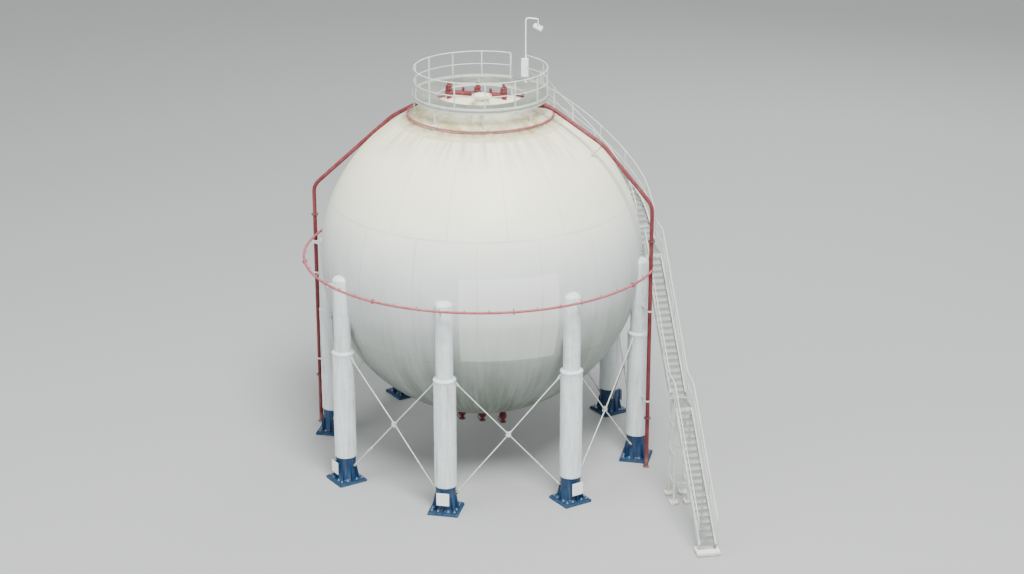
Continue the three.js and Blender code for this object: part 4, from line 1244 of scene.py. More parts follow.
@dataclass(frozen=True)
class Riser:
    """One upright supply pipe: where it stands, where it bends and what it climbs to."""

    name: str
    node: str
    radius: float
    angle: float
    bend: float
    # Radius, angle and height of each point past the bend
    upper: tuple[tuple[float, float, float], ...]
    column_angle: float
    flanges: tuple[float, float]


@dataclass
class SprayPipes:
    """Ring mains round the ball and the two risers that feed them."""

    ring: float = 7.417
    ring_height: float = 8.82
    ring_pipe: float = 0.05
    # Distance from the ring's middle line down to the arms that carry it
    ring_seat: float = 0.057
    ring_first: float = 131.0
    ring_last: float = 442.35
    joints: tuple[float, ...] = (131.3, 157.0, 202.5, 247.5, 292.5, 337.5, 382.5, 427.5)
    top_ring: float = 3.0
    top_height: float = 14.82
    top_pipe: float = 0.038
    riser_pipe: float = 0.084
    riser_flange: float = 0.15
    bracket_heights: tuple[float, float] = (3.0, 7.0)
    risers: tuple[Riser, Riser] = (
        Riser(
            "riser_to_deck", "riser_right", 7.33, 83.2, 11.56,
            ((5.23, 83.2, 13.91), (2.95, 83.2, 15.31), (1.8, 83.2, 15.31)), 90.0, (2.2, 10.01),
        ),
        Riser(
            "riser_to_ring", "riser_left", 7.5823, -97.0, 10.93,
            ((5.3, -107.0, 13.19), (4.4, -110.0, 14.04), (3.05, -112.0, 14.82)), -90.0, (2.2, 9.6),
        ),
    )

    def main_ring(self) -> None:
        """Build the ring round the belt with its flanged joints and spray heads."""
        piece = Workpiece(FADED_RED)
        first, last, height = self.ring_first, self.ring_last, self.ring_height
        piece.add(pipe(rim_route(self.ring, height, first, last, 150), self.ring_pipe, 16))
        for angle in self.joints:
            place = rim(angle, self.ring, height) @ turn(90, "Y")
            piece.add(drum(0.1, 0.018, 24, bevel=0.002), *[place @ shift(z=z) for z in (-0.021, 0.003)])
            faces = (place @ shift(z=0.021), place @ shift(z=-0.021) @ UPSIDE_DOWN)
            piece.bolts([face @ spot for face in faces for spot in bolt_circle(8, 0.083)], 0.018)
        head = Workpiece(FADED_RED)
        head.add(drum(0.02, 0.09, 10))
        head.add(drum(0.03, 0.03, 6), shift(z=0.06))
        head.add(drum(0.014, 0.05, 10, top=0.026), shift(z=0.09), finish=BOLT_ZINC)
        angles = [first + 4 + 7.5 * i for i in range(41)]
        tilt = turn(-55, "X")
        piece.repeat(head, [rim(angle, self.ring, height) @ tilt for angle in angles if angle < last - 2])
        piece.finish_as("spray_ring_belt", "faded_red_paint", "spray_ring_main")

    def crown_ring(self) -> None:
        """Build the ring under the platform with its stand-offs and spray nozzles."""
        piece = Workpiece(FADED_RED)
        route = rim_route(self.top_ring, self.top_height, 0.0, 360.0, 96)[:-1]
        piece.add(pipe(route, self.top_pipe, 14, closed=True))
        for i in range(8):
            start = polar(self.top_ring, 45 * i + 20, self.top_height)
            seat = BALL.below(start)
            piece.rod(start, seat, 0.024, finish=RAIL_GREY)
            piece.pad(seat, 0.07, 0.024, bevel=0.004, sides=20, finish=RAIL_GREY)
        for i in range(36):
            start = polar(self.top_ring, 10 * i + 3, self.top_height)
            out = (start - BALL.middle).normalized() * 0.02 + polar(1.0, 10 * i + 3, -0.35) * 0.09
            piece.rod(start, start + out, 0.012, 8)
        piece.finish_as("spray_ring_crown", "faded_red_paint", "spray_ring_top")

    def riser(self, riser: Riser) -> None:
        """Build a riser with its flanges, its brackets and its stay on the ball.

        Args:
            riser: its route and fittings.
        """
        piece = Workpiece(FIRE_RED)
        foot, bend = (polar(riser.radius, riser.angle, height) for height in (0.0, riser.bend))
        upper = [polar(*point) for point in riser.upper]
        piece.add(pipe(rounded([foot, bend, *upper], 0.3, 10), self.riser_pipe, 24))
        piece.flange(at(foot), self.riser_flange, 0.028, foot=True)
        for height in riser.flanges:
            for z in (height, height + 0.029):
                piece.flange(at(foot) @ shift(z=z), self.riser_flange, 0.026)
        for height in self.bracket_heights:
            self.bracket(piece, riser, height)
        seat = BALL.below(upper[0])
        piece.rod(upper[0], seat, 0.035, 16, RAIL_GREY)
        piece.pad(seat, 0.11, 0.022, finish=RAIL_GREY)
        piece.finish_as(riser.name, "red_paint", riser.node)

    def bracket(self, piece: Workpiece, riser: Riser, height: float) -> None:
        """Add a bracket with a clamp that holds a riser to its column.

        Args:
            piece: the workpiece that gets it.
            riser: the riser.
            height: the bracket's height.
        """
        start = polar(riser.radius, riser.angle, height)
        axis = polar(Legs.circle, riser.column_angle, height)
        body = Legs.render if height < Legs.collar_height else Legs.pipe
        end = axis + (start - axis).normalized() * (body - 0.005)
        piece.rod(start, end, 0.032, 14, RAIL_GREY)
        piece.add(drum(0.075, 0.02, 20, bevel=0.003), aimed(end, start), finish=RAIL_GREY)
        band = drum(self.riser_pipe + 0.01, 0.07, 24, bevel=0.002)
        piece.add(band, at(start) @ shift(z=-0.035), finish=RAIL_GREY)

    def build(self) -> None:
        """Build the rings and risers."""
        self.main_ring()
        self.crown_ring()
        for riser in self.risers:
            self.riser(riser)


# Stairs


def tread(front: float, back: float, depth: float) -> Workpiece:
    """Open grating tread with a nosing.

    Args:
        front: its width at the nosing, along Y.
        back: its width at the back.
        depth: from its nosing at X = 0 to its back.

    Returns:
        The tread, with its top at Z = 0.
    """
    piece = Workpiece(GRATING)
    bars, rods, narrow = 7, 6, min(front, back)
    for i in range(bars):
        x = 0.045 + (depth - 0.05) * i / (bars - 1)
        piece.add(slab(0.006, front + (back - front) * x / depth - 0.02, 0.03), shift(x, z=-0.016))
    lines = [-narrow / 2 + narrow * (i + 0.5) / rods for i in range(rods)]
    piece.add(slab(depth - 0.03, 0.007, 0.007), *[shift(depth / 2 + 0.01, y, -0.005) for y in lines])
    piece.add(slab(0.034, front - 0.02, 0.006, 0.001), shift(0.017, z=-0.003))
    piece.add(slab(0.006, front - 0.02, 0.034, 0.001), shift(0.003, z=-0.017))
    return piece


@dataclass(frozen=True)
class Post:
    """Rail post beside a stringer, held by a bolted lug; sizes are from its seat."""

    tail: float
    lug_height: float
    lug_drop: float
    bolts: tuple[float, float]
    height: float = 1.05
    radius: float = 0.021

    def stand(self, piece: Workpiece, seat: Vector, outward: Vector) -> None:
        """Add the post.

        Args:
            piece: the workpiece that gets it.
            seat: where it stands.
            outward: level direction away from the stringer.
        """
        piece.rod(seat - UP * self.tail, seat + UP * self.height, self.radius, 10)
        middle = seat - outward * 0.0125 - UP * self.lug_drop
        piece.add(slab(0.05, 0.024, self.lug_height, 0.003), laid(middle, outward.cross(UP), outward))
        face = seat + outward * 0.018
        piece.bolts([aimed(face + UP * z, face + UP * z + outward) for z in self.bolts], 0.022)


@dataclass(frozen=True)
class Flight:
    """A straight flight: where it starts and ends along the stair, and its two levels."""

    name: str
    node: str
    first: float
    last: float
    low: float
    high: float
    risers: int

    @property
    def rise(self) -> float:
        """Height of a step."""
        return (self.high - self.low) / self.risers

    @property
    def going(self) -> float:
        """Depth of a step."""
        return (self.last - self.first) / (self.risers - 1)

    @property
    def slope(self) -> float:
        """Rise of the line through the nosings for each metre along."""
        return self.rise / self.going

    def nose(self, along: float) -> float:
        """Height of the line through the nosings."""
        return self.low + self.rise + (along - self.first) * self.slope


@dataclass
class StraightStair:
    """Straight stair beside the tank, laid out along X with the tank at +Y, then turned into place."""

    inner: float = 6.75
    outer: float = 7.45
    # How far the stringers reach above and below the line through the nosings
    above: float = 0.05
    below: float = 0.26
    skin: float = 0.009
    rail: float = 0.022
    # Distance of the handrails' lines out from the stringers' faces
    rail_gap: float = 0.0253
    landing_end: float = 0.2
    prop_along: float = -9.45
    post: Post = Post(tail=0.11, lug_height=0.15, lug_drop=0.035, bolts=(-0.075, 0.01))
    lower: Flight = Flight("stair_flight_lower", "stair_lower_flight", -11.7, -7.2, 0.18, 4.25, 22)
    upper: Flight = Flight("stair_flight_upper", "stair_upper_flight", -6.2, -1.15, 4.25, 8.7, 23)

    @property
    def middle(self) -> float:
        """Place of the stair's middle line across it."""
        return -(self.inner + self.outer) / 2

    def lines(self, inset: float) -> tuple[float, float]:
        """Places of two lines across the stair, inset from its sides."""
        return (-self.inner - inset, -self.outer + inset)

    def flight(self, flight: Flight) -> None:
        """Build a flight with channel stringers and open treads.

        Args:
            flight: its ends and levels.
        """
        piece = Workpiece(RAIL_GREY)
        start, end, cut = flight.first + GAP, flight.last - GAP, flight.last - GAP - 0.06
        foot = flight.nose(start) - self.below
        low_line = [(start, foot)]
        if flight is self.lower:
            # The stringers are cut level where they stand on the block
            floor = flight.low + 0.001
            low_line = [(start, floor), (start + (flight.low - foot) / flight.slope, floor)]
        low_line.append((end, flight.high - self.below))
        high_line = [(cut, flight.nose(cut) + self.above), (start, flight.nose(start) + self.above)]
        web = low_line + [(end, flight.high)] + high_line
        piece.add(cut_plate(web, 0.01, 0.0015), *[shift(y=y) @ STANDING for y in self.lines(0.005)])
        low_strip = low_line[-2:] + [(x, z + self.skin) for x, z in low_line[:-3:-1]]
        high_strip = [(x, z - self.skin) for x, z in high_line[::-1]] + high_line
        for strip in (high_strip, low_strip):
            piece.add(cut_plate(strip, 0.064, 0.001), *[shift(y=y) @ STANDING for y in self.lines(0.033)])
        if flight is self.lower:
            shoes = [shift(flight.first + 0.15, y, flight.low) for y in self.lines(0.05)]
            piece.add(slab(0.28, 0.1, 0.012, 0.002), *[shoe @ shift(z=0.0065) for shoe in shoes])
            piece.bolts([shoe @ shift(x, z=0.0125) for shoe in shoes for x in (-0.1, 0.1)], 0.03)
            self.prop(piece)
        treads, cleats = [], []
        for i in range(flight.risers - 1):
            along, level = flight.first + flight.going * i, flight.low + flight.rise * (i + 1)
            treads.append(shift(max(along - 0.025, flight.first + 0.001), self.middle, level))
            cleats += [shift(along + flight.going / 2, y, level - 0.028) for y in self.lines(0.013)]
        width = self.outer - self.inner - 0.03
        piece.repeat(tread(width, width, flight.going + 0.02), treads)
        piece.add(slab(flight.going * 0.86, 0.006, 0.05), *cleats)
        piece.finish_as(flight.name, "rail_paint", flight.node, place=turn(STAIR_ANGLE))

    def prop(self, piece: Workpiece) -> None:
        """Add the single prop under the lower flight, with its foot plate.

        Args:
            piece: the workpiece that gets it.
        """
        size, plate = 0.07, 0.012
        top = self.lower.nose(self.prop_along) - self.below + 0.03
        foot = shift(self.prop_along, -self.outer + size / 2)
        piece.add(slab(size, size, top - plate, 0.006), foot @ shift(z=(top + plate) / 2))
        piece.add(slab(0.16, size, plate, 0.002), foot @ shift(z=plate / 2))
        piece.bolts([foot @ shift(x, z=plate) for x in (-0.06, 0.06)], 0.024)

    def foot_block(self) -> None:
        """Build the cast block at the stair's foot."""
        piece = Workpiece(WASHED)
        piece.add(slab(0.62, 0.92, 0.18, 0.015), shift(self.lower.first + 0.06, self.middle, 0.09))
        piece.finish_as("stair_foot", "concrete", "stair_foot_block", place=turn(STAIR_ANGLE))

    def deck(self, piece: Workpiece, first: float, last: float, top: float) -> None:
        """Add a landing's grating with its edge frame.

        Args:
            piece: the workpiece that gets it.
            first: where it starts along the stair.
            last: where it ends.
            top: its level.
        """
        length, width = last - first, self.outer - self.inner
        place = shift((first + last) / 2, self.middle, top)
        bars = round(length / 0.042)
        pitch = (length - 0.04) / bars
        spots = [place @ shift(pitch * (i - bars / 2), z=-0.019) for i in range(bars + 1)]
        piece.add(slab(0.006, width - 0.03, 0.036), *spots, finish=GRATING)
        rods = [place @ shift(y=width * k / 14, z=-0.005) for k in range(-6, 7, 2)]
        piece.add(slab(length - 0.03, 0.008, 0.008), *rods, finish=GRATING)
        for side in (-1, 1):
            edge, lip = side * (width / 2 - 0.006), side * (width / 2 - 0.036)
            piece.add(slab(length, 0.01, 0.14, 0.002), place @ shift(y=edge, z=-0.072))
            lips = [place @ shift(y=lip, z=z) for z in (-0.138, -0.046)]
            piece.add(slab(length - 0.02, 0.055, self.skin, 0.001), *lips)
            end = place @ shift(side * (length / 2 - 0.006), z=-0.073)
            piece.add(slab(0.01, width - 0.02, 0.14, 0.002), end)
            piece.add(slab(0.05, width - 0.03, 0.08, 0.004), place @ shift(side * length / 6, z=-0.085))

    def mid_landing(self) -> None:
        """Build the middle landing on its braced trestle."""
        piece = Workpiece(RAIL_GREY)
        first, last, top = self.lower.last, self.upper.first, self.lower.high
        self.deck(piece, first, last, top)
        leg, foot, head = 0.08, 0.165, top - 0.03
        x, y = (last - first - leg) / 2 - 0.015, (self.outer - self.inner - leg) / 2 - 0.015
        place = shift((first + last) / 2, self.middle)
        legs = [place @ spot for spot in corners(x, y)]
        piece.add(slab(leg, leg, head - foot, 0.007), *[spot @ shift(z=(head + foot) / 2) for spot in legs])
        piece.add(slab(0.32, 0.32, 0.15, 0.012), *[spot @ shift(z=0.075) for spot in legs], finish=WASHED)
        piece.add(slab(0.2, 0.2, 0.016, 0.003), *[spot @ shift(z=0.158) for spot in legs])
        piece.bolts([spot @ bolt for spot in legs for bolt in corners(0.075, 0.075, 0.166)], 0.028)
        for z in (0.9, 2.1, 3.3):
            piece.add(slab(0.045, 2 * y, 0.045, 0.003), *[place @ shift(across, z=z) for across in (-x, x)])
            piece.add(slab(2 * x, 0.045, 0.045, 0.003), *[place @ shift(y=along, z=z) for along in (-y, y)])
        piece.finish_as("stair_landing_mid", "rail_paint", "stair_mid_landing", place=turn(STAIR_ANGLE))

    def top_landing(self) -> None:
        """Build the landing beside the belt on its two knee brackets."""
        piece = Workpiece(RAIL_GREY)
        first, last, top = self.upper.last, self.landing_end, self.upper.high
        self.deck(piece, first, last, top)
        for x in (first + 0.3, last - 0.3):
            inner, outer, low = 0.02 - BALL.chord(x), 0.03 - self.outer, top - 1.1
            piece.beam(0.08, inner - outer, shift(x, (inner + outer) / 2, top - 0.1), 0.046)
            seat = Vector((x, 0.01 - BALL.chord(math.hypot(x, low - BALL.centre)), low))
            piece.rod(Vector((x, 0.09 - self.outer, top - 0.13)), seat, 0.03, 16)
            piece.pad(seat, 0.12, 0.016, 0.006)
            piece.pad(Vector((x, inner - 0.005, top - 0.1)), 0.13, 0.016, 0.02)
        piece.finish_as("stair_landing_top", "rail_paint", "stair_top_landing", place=turn(STAIR_ANGLE))

    def handrail(self, y: float, end: float, name: str, node: str) -> None:
        """Build a handrail with round rails, a returned end and bolted posts.

        Args:
            y: the rail's line.
            end: where it ends along the stair.
            name: the piece's name.
            node: the solid that it stands for.
        """
        piece = Workpiece(RAIL_GREY)
        lower, upper = self.lower, self.upper
        first = lower.first + 0.04
        bends = [
            (first, lower.nose(first)), (lower.last, lower.high), (upper.first, upper.low + 0.06),
            (upper.last, upper.high),
        ]
        if end > upper.last:
            bends.append((end, upper.high))
        stations = [Vector((x, y, z)) for x, z in bends]
        high = UP * self.post.height
        top, middle = ([station + lift for station in stations] for lift in (high, high / 2))
        # The top rail bends down at the foot and comes back into the middle rail
        toe = middle[0] + Vector((0.02, 0.0, 0.0))
        piece.add(pipe(rounded([toe, *top], 0.18), self.rail))
        piece.add(pipe(rounded(middle, 0.12, 4), self.rail * 0.8, 10))
        outward = Vector((0.0, -1.0 if y < self.middle else 1.0, 0.0))
        for seat in self.seats(stations):
            self.post.stand(piece, seat, outward)
        piece.finish_as(name, "rail_paint", node, place=turn(STAIR_ANGLE))

    @staticmethod
    def seats(stations: Sequence[Vector]) -> list[Vector]:
        """Share the posts out along a rail, about 1.4 m apart.

        Args:
            stations: the bends of the rail's foot line.

        Returns:
            The posts' seats.
        """
        seats = []
        for start, end in zip(stations, stations[1:]):
            count = max(1, round((end.x - start.x) / 1.4))
            for k in range(count + 1 if end is stations[-1] else count):
                along = max(start.x + (end.x - start.x) * k / count, stations[0].x + 0.025)
                seats.append(start.lerp(end, (along - start.x) / (end.x - start.x)))
        return seats

    def build(self) -> None:
        """Build the stair's pieces."""
        self.foot_block()
        self.flight(self.lower)
        self.mid_landing()
        self.flight(self.upper)
        self.top_landing()
        inner, outer = self.lines(-self.rail_gap)
        self.handrail(outer, self.landing_end - 0.03, "stair_rail_outer", "stair_handrail_outer")
        self.handrail(inner, self.upper.last, "stair_rail_inner", "stair_handrail_inner")


@dataclass
class CurvedRoute:
    """Level steps of equal going that wind over the ball up to the platform."""

    foot: float = 8.7
    risers: int = 37
    clearance: float = 0.18
    # Where the first step's middle is along the straight stair, and that stair's distance from the axis
    start_along: float = 0.14
    start_across: float = 7.1

    @property
    def rise(self) -> float:
        """Height of a step."""
        return (DECK_TOP - self.foot) / self.risers

    def follow(self, height: float) -> float:
        """Find how near the axis the stair may come.

        Args:
            height: level of the tread below.

        Returns:
            The least radius of the stair's middle.
        """
        up = height - BALL.centre
        reach = math.sqrt(max((BALL.radius + self.clearance) ** 2 - up * up, 0.0))
        turned_in = max(1 - (up / BALL.radius) ** 2, 0.0) ** 1.5
        return reach + STAIR_WIDTH / 2 * turned_in

    def steps(self, going: float) -> tuple[list[Vector], float, float]:
        """Lay out the steps.

        Args:
            going: the depth of a step.

        Returns:
            The middle of each step's front, and the last one's radius and angle.
        """
        angle = STAIR_ANGLE + math.degrees(math.atan2(self.start_along, self.start_across))
        radius = math.hypot(self.start_along, self.start_across)
        points = [polar(radius, angle, self.foot + self.rise)]
        for i in range(1, self.risers):
            height = self.foot + self.rise * i
            inward = min(max(radius - self.follow(height), 0.0), going)
            angle += math.degrees(math.sqrt(going ** 2 - inward ** 2) / radius)
            radius -= inward
            points.append(polar(radius, angle, height + self.rise))
        return points, radius, angle

    def solved(self) -> tuple[list[Vector], float]:
        """Find the going that brings the last step to the platform.

        Returns:
            The steps, and the angle where they arrive.
        """
        low, high = 0.18, 0.26
        for _ in range(30):
            middle = (low + high) / 2
            if self.steps(middle)[1] > DECK_RADIUS + GAP:
                low = middle
            else:
                high = middle
        points, _, arrival = self.steps(high)
        return points, arrival


class Side(Enum):
    """Side of the curved stair, as a sign to the left of travel."""

    BALL = 1
    OPEN = -1


@dataclass
class CurvedStair:
    """Curved flight over the ball, with its stringers, treads, bearers and handrails."""

    # Middle of each step's front
    points: list[Vector]
    above: float = 0.05
    below: float = 0.26
    plate: float = 0.015
    flange: float = 0.06
    skin: float = 0.009
    rail: float = 0.022
    post: Post = Post(tail=0.18, lug_height=0.16, lug_drop=0.1, bolts=(-0.15, -0.05))

    def travel(self, index: int) -> Vector:
        """Level direction of travel at a step."""
        ahead = self.points[min(index + 1, len(self.points) - 1)] - self.points[max(index - 1, 0)]
        return ahead.xy.to_3d().normalized()

    def edge(self, index: int, side: Side, inset: float = 0.0075) -> Vector:
        """Point on a stringer's line at a step."""
        return self.points[index] + UP.cross(self.travel(index)) * side.value * (STAIR_WIDTH / 2 - inset)

    def stringer(self, piece: Workpiece, side: Side) -> None:
        """Add a stringer of channel section.

        Args:
            piece: the workpiece that gets it.
            side: which side it runs on.
        """
        line = [self.edge(i, side) for i in range(len(self.points))]
        # Kept a hair short of the landing and the deck
        line[0] = line[0].lerp(line[1], 0.002)
        line[-1] = line[-1].lerp(line[-2], 0.004)
        low, high, back = -self.below, self.above, -self.plate / 2
        outline = [
            (self.flange, low), (self.flange, low + self.skin), (0.001, low + self.skin),
            (0.001, high - self.skin), (self.flange, high - self.skin), (self.flange, high),
            (back, high), (back, low),
        ]
        piece.add(swept([(-side.value * x, z) for x, z in outline], upright_frames(line)))

    def flight(self) -> None:
        """Build the curved flight."""
        piece = Workpiece(RAIL_GREY)
        for side in Side:
            self.stringer(piece, side)
        for i in range(len(self.points) - 1):
            near, far = ([self.edge(k, side, 0.02) for side in Side] for k in (i, i + 1))
            start, end = (near[0] + near[1]) / 2, (far[0] + far[1]) / 2
            step = tread((near[0] - near[1]).length, (far[0] - far[1]).length, (end - start).xy.length + 0.03)
            ahead = self.travel(i)
            piece.repeat(step, [laid(start - ahead * 0.025, ahead, UP.cross(ahead))])
        self.bearers(piece)
        piece.finish_as("stair_flight_curved", "rail_paint", "stair_curved_flight")

    def bearers(self, piece: Workpiece) -> None:
        """Add the bearers under every sixth tread, down to the ball.

        Args:
            piece: the workpiece that gets them.
        """
        for i in range(3, len(self.points), 6):
            outer, inner = self.edge(i, Side.OPEN), self.edge(i, Side.BALL)
            outer.z = inner.z = self.points[i].z - 0.2
            if inner.z - BALL.centre < BALL.radius * 0.6:
                # Beside the ball the bearer runs straight on into it
                ahead = (inner - outer).normalized()
                offset = inner - BALL.middle
                reach = -offset.dot(ahead) - BALL.chord(offset.cross(ahead).length)
                seat = inner + ahead * (reach + 0.012)
                piece.rod(outer, seat, 0.038, 16)
                piece.pad(seat, 0.13, 0.018, 0.006)
                continue
            piece.rod(outer, inner, 0.036, 16)
            for point in (outer, inner):
                seat = Vector((point.x, point.y, BALL.top(point.xy.length)))
                if seat.z > point.z - 1.2:
                    piece.rod(point, seat - UP * 0.01, 0.036, 16)
                    piece.pad(seat, 0.12, 0.018, 0.008)

    def handrail(self, side: Side, name: str, node: str) -> None:
        """Build a handrail with a post at every fifth step.

        Args:
            side: which side it runs on.
            name: the piece's name.
            node: the solid that it stands for.
        """
        piece = Workpiece(RAIL_GREY)
        offset = self.plate / 2 + GAP + 0.025
        seats = []
        for i in range(1, len(self.points) - 1, 5):
            start, end = self.edge(i, side), self.edge(i + 1, side)
            outward = UP.cross((end - start).xy.to_3d().normalized()) * side.value
            seats.append(((start + end) / 2 + outward * offset, outward))
        line = [seat for seat, _ in seats]
        high = UP * self.post.height
        curve = self.smoothed(line, 6)
        piece.add(pipe([point + high for point in curve], self.rail))
        piece.add(pipe([point + high / 2 for point in curve], self.rail * 0.8, 10))
        for end in (line[0], line[-1]):
            piece.rod(end + high / 2, end + high, self.rail)
        for seat, outward in seats:
            self.post.stand(piece, seat, outward)
        piece.finish_as(name, "rail_paint", node)

    @staticmethod
    def smoothed(points: Sequence[Vector], steps: int) -> list[Vector]:
        """Even curve through points.

        Args:
            points: the points to pass through.
            steps: how many steps go between two of them.

        Returns:
            The curve's points.
        """
        route = []
        last = len(points) - 1
        for i in range(last):
            a, b, c, d = (points[min(max(i + k, 0), last)] for k in (-1, 0, 1, 2))
            bend, twist = 2 * a - 5 * b + 4 * c - d, 3 * b - a - 3 * c + d
            for k in range(steps):
                t = k / steps
                route.append((2 * b + (c - a) * t + bend * t ** 2 + twist * t ** 3) / 2)
        route.append(points[last].copy())
        return route

    def build(self) -> None:
        """Build the curved flight and its two handrails."""
        self.flight()
        self.handrail(Side.OPEN, "stair_rail_curved_outer", "stair_curved_handrail_outer")
        self.handrail(Side.BALL, "stair_rail_curved_inner", "stair_curved_handrail_inner")


# Platform and the fittings on top


@dataclass
class Platform:
    """Ring-shaped platform over the crown."""

    # Angle round the axis where the stair comes in
    arrival: float
    thickness: float = 0.05
    hole: float = 1.85
    rail_height: float = 1.12
    rail: float = 0.025
    railing: float = 2.725
    posts: int = 14
    bars: int = 264
    rods: int = 8

    @property
    def frame_top(self) -> float:
        """Level of the frame's top, just under the deck."""
        return DECK_TOP - self.thickness - GAP

    def channel_ring(self, piece: Workpiece, radius: float, inward: int) -> None:
        """Add a ring of channel section.

        Args:
            piece: the workpiece that gets it.
            radius: the radius of its web's outer face.
            inward: 1 if its flanges point to the axis, -1 if away from it.
        """
        depth, width, skin = 0.11, 0.065, 0.009
        outline = [
            (0.0, -depth), (0.0, 0.0), (width, 0.0), (width, -skin), (skin, -skin), (skin, skin - depth),
            (width, skin - depth), (width, -depth),
        ]
        profile = [(radius - inward * x, self.frame_top + z) for x, z in outline]
        piece.add(turned(profile, 96, closed=True))

    def support(self) -> None:
        """Build the frame under the deck, on props that stand on the ball."""
        piece = Workpiece(RAIL_GREY)
        self.channel_ring(piece, DECK_RADIUS - 0.04, 1)
        self.channel_ring(piece, self.hole + 0.02, -1)
        first, last, top = self.hole + 0.03, DECK_RADIUS - 0.05, self.frame_top
        length, middle = last - first, (first + last) / 2
        for angle in range(15, 360, 45):
            piece.beam(0.075, length, rim(angle, middle, top - 0.055))
            for radius in (DECK_RADIUS - 0.075, self.hole + 0.055):
                head, seat = top - 0.1, BALL.top(radius) - 0.012
                piece.add(slab(0.06, 0.05, head - seat, 0.004), rim(angle, radius, (head + seat) / 2))
                piece.pad(polar(radius, angle, seat), 0.11, 0.02, -0.004, 0.004)
                piece.add(slab(0.11, 0.1, 0.012, 0.002), rim(angle, radius, head - 0.014))
        joists = [rim(22.5 * i + 3.75, middle, top - 0.05) for i in range(16)]
        piece.add(slab(0.045, length, 0.07, 0.003), *joists)
        piece.finish_as("platform_frame", "rail_paint", "platform_support")

    def deck(self) -> None:
        """Build the deck of open grating panels."""
        piece = Workpiece(GRATING)
        deep, thick, step = 0.036, 0.008, 360 / self.bars
        first, last = self.hole + 0.006, DECK_RADIUS - 0.016
        length, middle = last - first, (first + last) / 2
        places = [rim(step * i, middle, DECK_TOP - deep / 2 - 0.001) for i in range(self.bars)]
        piece.add(slab(0.0065, length, deep), *places)
        # Rods across the bars, then the two edge bands
        hoops = [(first + length * (k + 0.5) / self.rods, 0.012, 0.002) for k in range(self.rods)]
        hoops += [(radius, self.thickness, 0.0) for radius in (self.hole, DECK_RADIUS - 0.018)]
        for radius, foot, head in hoops:
            low, high = DECK_TOP - foot, DECK_TOP - head
            band = [(radius, low), (radius + thick, low), (radius + thick, high), (radius, high)]
            piece.add(turned(band, 96, closed=True))
        edges = [rim(30 * i + side, middle, DECK_TOP - 0.025) for i in range(12) for side in (0.2, -0.2)]
        piece.add(slab(thick, length, 0.05, 0.001), *edges)
        piece.finish_as("platform_grating", "deck_paint", "platform_deck")

    def toe_board(self) -> None:
        """Build the upright strip round the deck's edge."""
        piece = Workpiece(RAIL_GREY)
        gap = math.degrees((STAIR_WIDTH / 2 + 0.02) / DECK_RADIUS)
        route = rim_route(DECK_RADIUS - 0.006, DECK_TOP, self.arrival + gap, self.arrival + 360 - gap, 110)
        section = [(-0.005, 0.0006), (0.005, 0.0006), (0.005, 0.1), (-0.005, 0.1)]
        piece.add(swept(section, upright_frames(route)))
        piece.finish_as("platform_kick_plate", "rail_paint", "platform_toe_board")

    def guard(self) -> None:
        """Build the railing with round rails, rounded ends and bolted posts."""
        piece = Workpiece(RAIL_GREY)
        gap = math.degrees((STAIR_WIDTH / 2 + 0.06) / self.railing)
        first, last = self.arrival + gap, self.arrival + 360 - gap
        base, middle = DECK_TOP + GAP, DECK_TOP + self.rail_height / 2
        high = DECK_TOP + self.rail_height - self.rail
        level = rim_route(self.railing, high, first, last, 90)
        # Past its end posts the top rail turns down into the middle rail
        near, far = first - 0.6, last + 0.6
        start = [polar(self.railing, near, middle), polar(self.railing, near, high), level[2]]
        end = [level[-3], polar(self.railing, far, high), polar(self.railing, far, middle)]
        piece.add(pipe(rounded(start, 0.12)[:-1] + level[2:-2] + rounded(end, 0.12)[1:], self.rail))
        piece.add(pipe(rim_route(self.railing, middle, near, far, 90), self.rail * 0.8, 10))
        for i in range(self.posts):
            place = rim(first + (last - first) * i / (self.posts - 1), self.railing, base)
            piece.add(slab(0.05, 0.05, high - base, 0.006), place @ shift(z=(high - base) / 2))
            piece.add(slab(0.12, 0.09, 0.012, 0.002), place @ shift(z=0.006))
            piece.bolts([place @ shift(x, z=0.012) for x in (-0.042, 0.042)], 0.022)
        piece.finish_as("platform_guard_rail", "rail_paint", "platform_railing")

    def build(self) -> None:
        """Build the platform's pieces."""
        self.support()
        self.deck()
        self.toe_board()
        self.guard()


